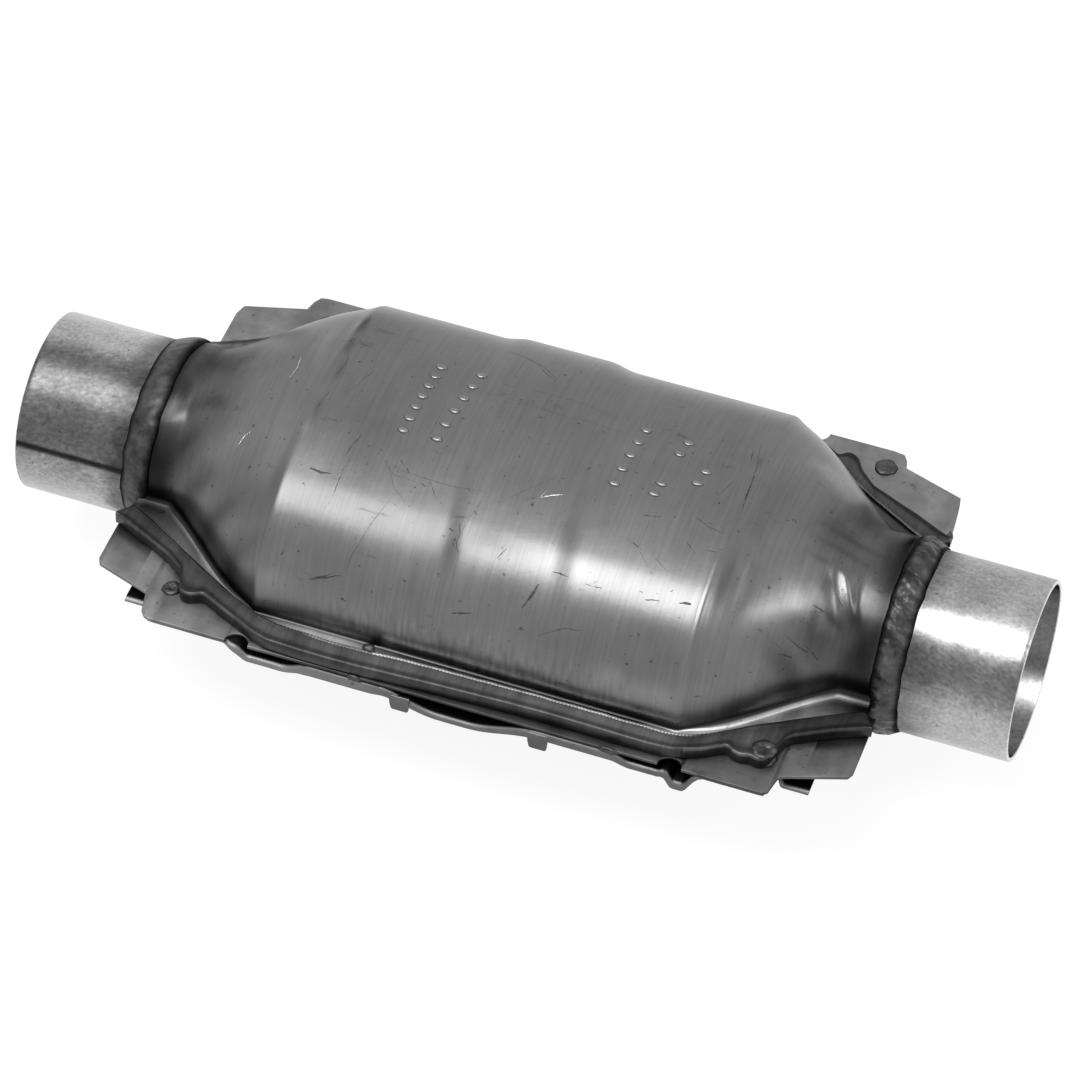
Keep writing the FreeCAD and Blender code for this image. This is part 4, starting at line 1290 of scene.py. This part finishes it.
def buildPips():
    vertices, faces = [], []
    for x0, y0, x1, y1, count in pips["rows"]:
        for number in range(count):
            part = number / max(count - 1, 1)
            cx, cy = blendValue(x0, x1, part), blendValue(y0, y1, part)

            def point(share, angle):
                out = 1 - share
                lift = pips["height"] * (1 - out ** 4) - pips["sink"]
                x = cx + out * pips["length"] / 2 * math.cos(angle) * (1 + 0.1 * math.sin(3 * angle + cx))
                return upperPoint(x, cy + out * pips["width"] / 2 * math.sin(angle), lift)

            addDome(vertices, faces, pips["rings"], pips["turns"], point, caps=1)
    finishPiece(meshPiece("raisedPips", vertices, faces), "shell_steel", metals["pipSteel"])


buildPips()

# each scratch: its half width, then x and y of each of its corners
scratch = {
    "step": 0.8,
    "thickness": 0.04,
    "rise": 0.03,
    "sink": 0.05,
    "dark": (
        (1.1, -60.4, -32.2, -57, -32.7, -53.9, -32.1), (0.45, -26.4, -27.6, -24.8, -28.1),
        (0.4, -12, -25.4, -10.8, -26.6), (0.45, -13.4, -38.6, -11.2, -39.2), (0.4, -7.6, -32, -6.2, -33.2),
        (0.5, -35.2, -21.8, -33.6, -23.2), (0.35, -32.4, -24, -31.2, -25.2),
        (0.6, -66.8, 35.9, -66.3, 31.8, -66.9, 26.7), (0.55, -65.6, 22.3, -67, 19.2, -64.8, 16.8),
        (0.3, -65.5, 13.4, -64.3, 7.6, -65.6, 3.3), (0.3, -64.6, -3, -66.2, -12, -66.5, -13.9),
        (0.22, -33.6, -35.2, -37, -44, -40, -52.1, -40.7, -54.5), (0.3, -41.5, -55.2, -45, -56, -51, -57.3),
        (0.16, -37.9, -24.6, -34.4, -30.5, -28.9, -34.9), (0.4, 21.1, -42.6, 23.6, -42.4, 25.9, -42.6),
        (0.35, 31.4, -43.1, 34, -43.2, 36.7, -43), (0.45, 50, -43, 52.4, -42.4, 54.7, -42.2),
        (0.8, 60.4, -41.4, 62, -41, 63.8, -40.8), (0.3, -9.8, 30.2, -5.6, 27, -1.9, 24.3),
        (0.14, -7.9, 17.5, 1.6, 18, 21.6, 16.3), (0.2, -34.1, -25.2, -21.1, -25.8, -6.1, -25.5),
        (0.16, -6.1, -25.5, -8.2, -34.6, -10, -42.5), (0.95, 18.2, -46.2, 17, -49.2, 15.2, -52),
        (0.6, 96.4, -22.8, 101.4, -22.2, 104.7, -22.6),
        (0.35, 98.2, -13.3, 102, -16.8, 106.8, -19.9, 109.4, -22.8), (0.45, 88.7, -36.9, 90.7, -36.7),
        (0.5, 92.1, -33.6, 95.7, -33.1, 98.5, -32.2), (0.45, 96.2, -31.8, 101.4, -31.3),
        (0.35, 91.1, -37.7, 94.6, -35.8), (0.35, -9.9, -39.3, -10.8, -42.3, -7.6, -44.1),
        (0.4, 5.7, -40, 3.7, -43), (0.35, -10.9, -36.7, -9.2, -39.5, -9.6, -41.8, -7.8, -45),
        (0.22, 21.8, -55.9, 24, -55.1, 29, -53.6, 33.9, -53.3), (0.2, 44, -29.9, 47.8, -33.7),
        (0.18, 48.8, -30.7, 54.4, -33.8), (0.3, 56, -22.6, 60.3, -26.2), (0.5, 62.5, -23.9, 65.4, -23.6),
        (0.35, 56.3, -14, 60.3, -15.9, 65.8, -16.9),
        (0.3, -49.7, -26.3, -50.8, -29.7, -50.6, -36.7, -51.3, -41.3),
        (0.45, -51.6, -25.3, -51.1, -22.1, -49.6, -16.9), (0.25, -23.9, -26.5, -21.4, -29.7, -20.2, -31.3),
        (0.25, -51.5, -57.2, -47, -56.2, -43.7, -55), (0.4, -5.4, -56.1, 0.3, -55.3),
        (0.35, -14.7, 33.3, -7.3, 30, -2.3, 25.8), (0.22, -21.5, 35, -11.4, 31.7),
        (0.14, -20.1, 11.7, 6.8, 9.8, 23.6, 11.4), (0.14, -42.6, -21.5, -35.2, -27.2, -24.6, -27.8),
        (0.5, 40.7, -18.2, 46.2, -17), (0.5, 63.3, 18.9, 64.2, 13.8), (0.3, 59.8, -4.1, 62.2, 3.9),
        (0.4, 40.7, -27.8, 44.6, -29.3), (0.25, 64.4, 23.8, 66.9, 10.6, 68.5, -10),
        (0.2, -56.8, 15.8, -55.6, 7.9, -58.5, -0.7, -60, -3.7), (0.14, -1.2, -27.5, 6, -20, 12, -14),
        (0.12, 43.2, -28.2, 43.4, -24, 43.3, -19.1),
    ),
    "bright": (
        (0.2, 9.9, -22.3, 13.2, -20.4, 16.7, -19.1), (0.12, 9.9, -22.3, 10.8, -19.2),
        (0.16, -86.5, -26.9, -85, -23.3, -83.6, -22.3), (0.16, -79.4, 8.8, -78.5, 3.5, -79.1, -1.4),
    ),
}


def scratchPath(corners):
    # (x, y, dx, dy, length) at each small step, with the direction of its stretch
    path = []
    for (x0, y0), (x1, y1) in zip(corners, corners[1:]):
        dx, dy = x1 - x0, y1 - y0
        length = math.hypot(dx, dy)
        count = max(int(length / scratch["step"]), 2)
        path += [(blendValue(x0, x1, step / count), blendValue(y0, y1, step / count), dx, dy, length)
                 for step in range(count)]
    return path + [(x1, y1, dx, dy, length)]


def buildScratches(name, lines, material):
    vertices, faces = [], []
    for half, *flat in lines:
        path = scratchPath(list(zip(flat[::2], flat[1::2])))
        base = len(vertices)
        for number, (x, y, dx, dy, length) in enumerate(path):
            share = number / (len(path) - 1)
            width = half * (0.35 + 0.65 * math.sin(math.pi * min(max(share, 0.03), 0.97)))
            width *= max(0.12, 0.9 + 1.3 * wobble(x, y, 0, 1.3, 51))
            ax, ay = -dy / length * width, dx / length * width
            drift = 0.25 * wobble(x, y, 0, 3.0, 52)
            for way, lift in ((-1, -scratch["sink"]), (0, scratch["rise"]), (1, -scratch["sink"])):
                vertices.append(upperPoint(x + ax * way + drift, y + ay * way, lift))
        faces += gridFaces(len(path), 3, base=base)
    marks = meshPiece(name, vertices, faces)
    turnOutward(marks, 1)
    thicken(marks, scratch["thickness"])
    finishPiece(marks, "shell_steel", material)


buildScratches("darkScratches", scratch["dark"], metals["scratchDark"])
buildScratches("brightScratches", scratch["bright"], metals["scratchBright"])
print("pips and scratches placed")

# Mats and seals keep the CAD's own shape
for nodeName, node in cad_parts.items():
    for ending, look in (("_mat", "matFibre"), ("_seal", "sealMesh")):
        if nodeName.endswith(ending):
            node.data.materials.clear()
            node.data.materials.append(metals[look])

# Camera, floor and light

view = {
    "azimuth": 18.596,
    "elevation": 47.706,
    "roll": 1.503,
    "distance": 1654.84,
    "focalShare": 5366.1 / 1080,         # focal length over the width of the picture
    "sensorWidth": 36.0,
    "shiftRight": 2.25,
    "shiftUp": -2.36,
    "clipStart": 0.05,
}


def addCamera():
    turn, lift, roll = (math.radians(view[key]) for key in ("azimuth", "elevation", "roll"))
    back = Vector((math.sin(turn) * math.cos(lift), -math.cos(turn) * math.cos(lift), math.sin(lift)))
    level = Vector((math.cos(turn), math.sin(turn), 0))
    upright = back.cross(level)
    right = level * math.cos(roll) + upright * math.sin(roll)
    up = upright * math.cos(roll) - level * math.sin(roll)
    camera = bpy.data.objects.new("photoCamera", bpy.data.cameras.new("photoCamera"))
    bpy.context.scene.collection.objects.link(camera)
    target = place(0, 0, 0) + (right * view["shiftRight"] + up * view["shiftUp"]) * mm
    turned = Matrix((right, up, back)).transposed().to_4x4()
    camera.matrix_world = Matrix.Translation(target + back * view["distance"] * mm) @ turned
    camera.data.sensor_width = view["sensorWidth"]
    camera.data.sensor_fit = "HORIZONTAL"
    camera.data.lens = view["focalShare"] * view["sensorWidth"]
    camera.data.clip_start = view["clipStart"]
    bpy.context.scene.camera = camera


light = {
    "worldWhite": 1.0,
    "worldFill": 0.55,
    "floorHalf": 3.0,
    "floorLevel": -0.0002,
    "floorGrey": 0.8,
    "floorRough": 0.9,
    "floorGlow": 1.12,
    "floorGlowShare": 0.8,
    # level soft boxes over the part: middle in metres, size and power
    "boxes": (("topSoftbox", (-0.275, -0.395, 1.25), (0.95, 0.67), 13.2),
              ("sideSoftbox", (1.50, -0.22, 1.25), (0.70, 0.50), 7.0)),
}


def seenRays(tree):
    path = tree.nodes.new("ShaderNodeLightPath")
    seen = joinValues(tree, "MAXIMUM", path.outputs["Is Camera Ray"], path.outputs["Is Glossy Ray"])
    return joinValues(tree, "MAXIMUM", seen, path.outputs["Is Transmission Ray"])


def addWorld():
    world = bpy.data.worlds.new("studio")
    bpy.context.scene.world = world
    world.use_nodes = True
    tree = world.node_tree
    background = tree.nodes["Background"]
    background.inputs["Color"].default_value = (1, 1, 1, 1)
    strength = valueRange(tree, seenRays(tree), (0, 1), light["worldFill"], light["worldWhite"])
    tree.links.new(strength, background.inputs["Strength"])


def addFloor():
    half = light["floorHalf"]
    corners = [(-half, -half), (half, -half), (half, half), (-half, half)]
    floor = meshPiece("floor", [(x, y, light["floorLevel"]) for x, y in corners], [(0, 1, 2, 3)])
    material, tree, shader = nodeMaterial("paleFloor")
    shader.inputs["Base Color"].default_value = (light["floorGrey"],) * 3 + (1,)
    shader.inputs["Roughness"].default_value = light["floorRough"]
    glow = tree.nodes.new("ShaderNodeEmission")
    glow.inputs["Color"].default_value = (1, 1, 1, 1)
    glow.inputs["Strength"].default_value = light["floorGlow"]
    mix = tree.nodes.new("ShaderNodeMixShader")
    tree.links.new(valueRange(tree, seenRays(tree), (0, 1), 0, light["floorGlowShare"]), mix.inputs["Fac"])
    tree.links.new(shader.outputs["BSDF"], mix.inputs[1])
    tree.links.new(glow.outputs["Emission"], mix.inputs[2])
    tree.links.new(mix.outputs["Shader"], tree.nodes["Material Output"].inputs["Surface"])
    floor.data.materials.append(material)


def addLamp(name, where, size, power):
    # an area lamp that faces straight down
    lamp = bpy.data.objects.new(name, bpy.data.lights.new(name, "AREA"))
    bpy.context.scene.collection.objects.link(lamp)
    lamp.data.shape = "RECTANGLE"
    lamp.data.size, lamp.data.size_y = size
    lamp.data.energy = power
    lamp.location = where


addCamera()
addWorld()
addFloor()
for lampName, middle, size, power in light["boxes"]:
    addLamp(lampName, middle, size, power)
bpy.context.scene.view_settings.view_transform = "Standard"
print("camera, floor and light placed")
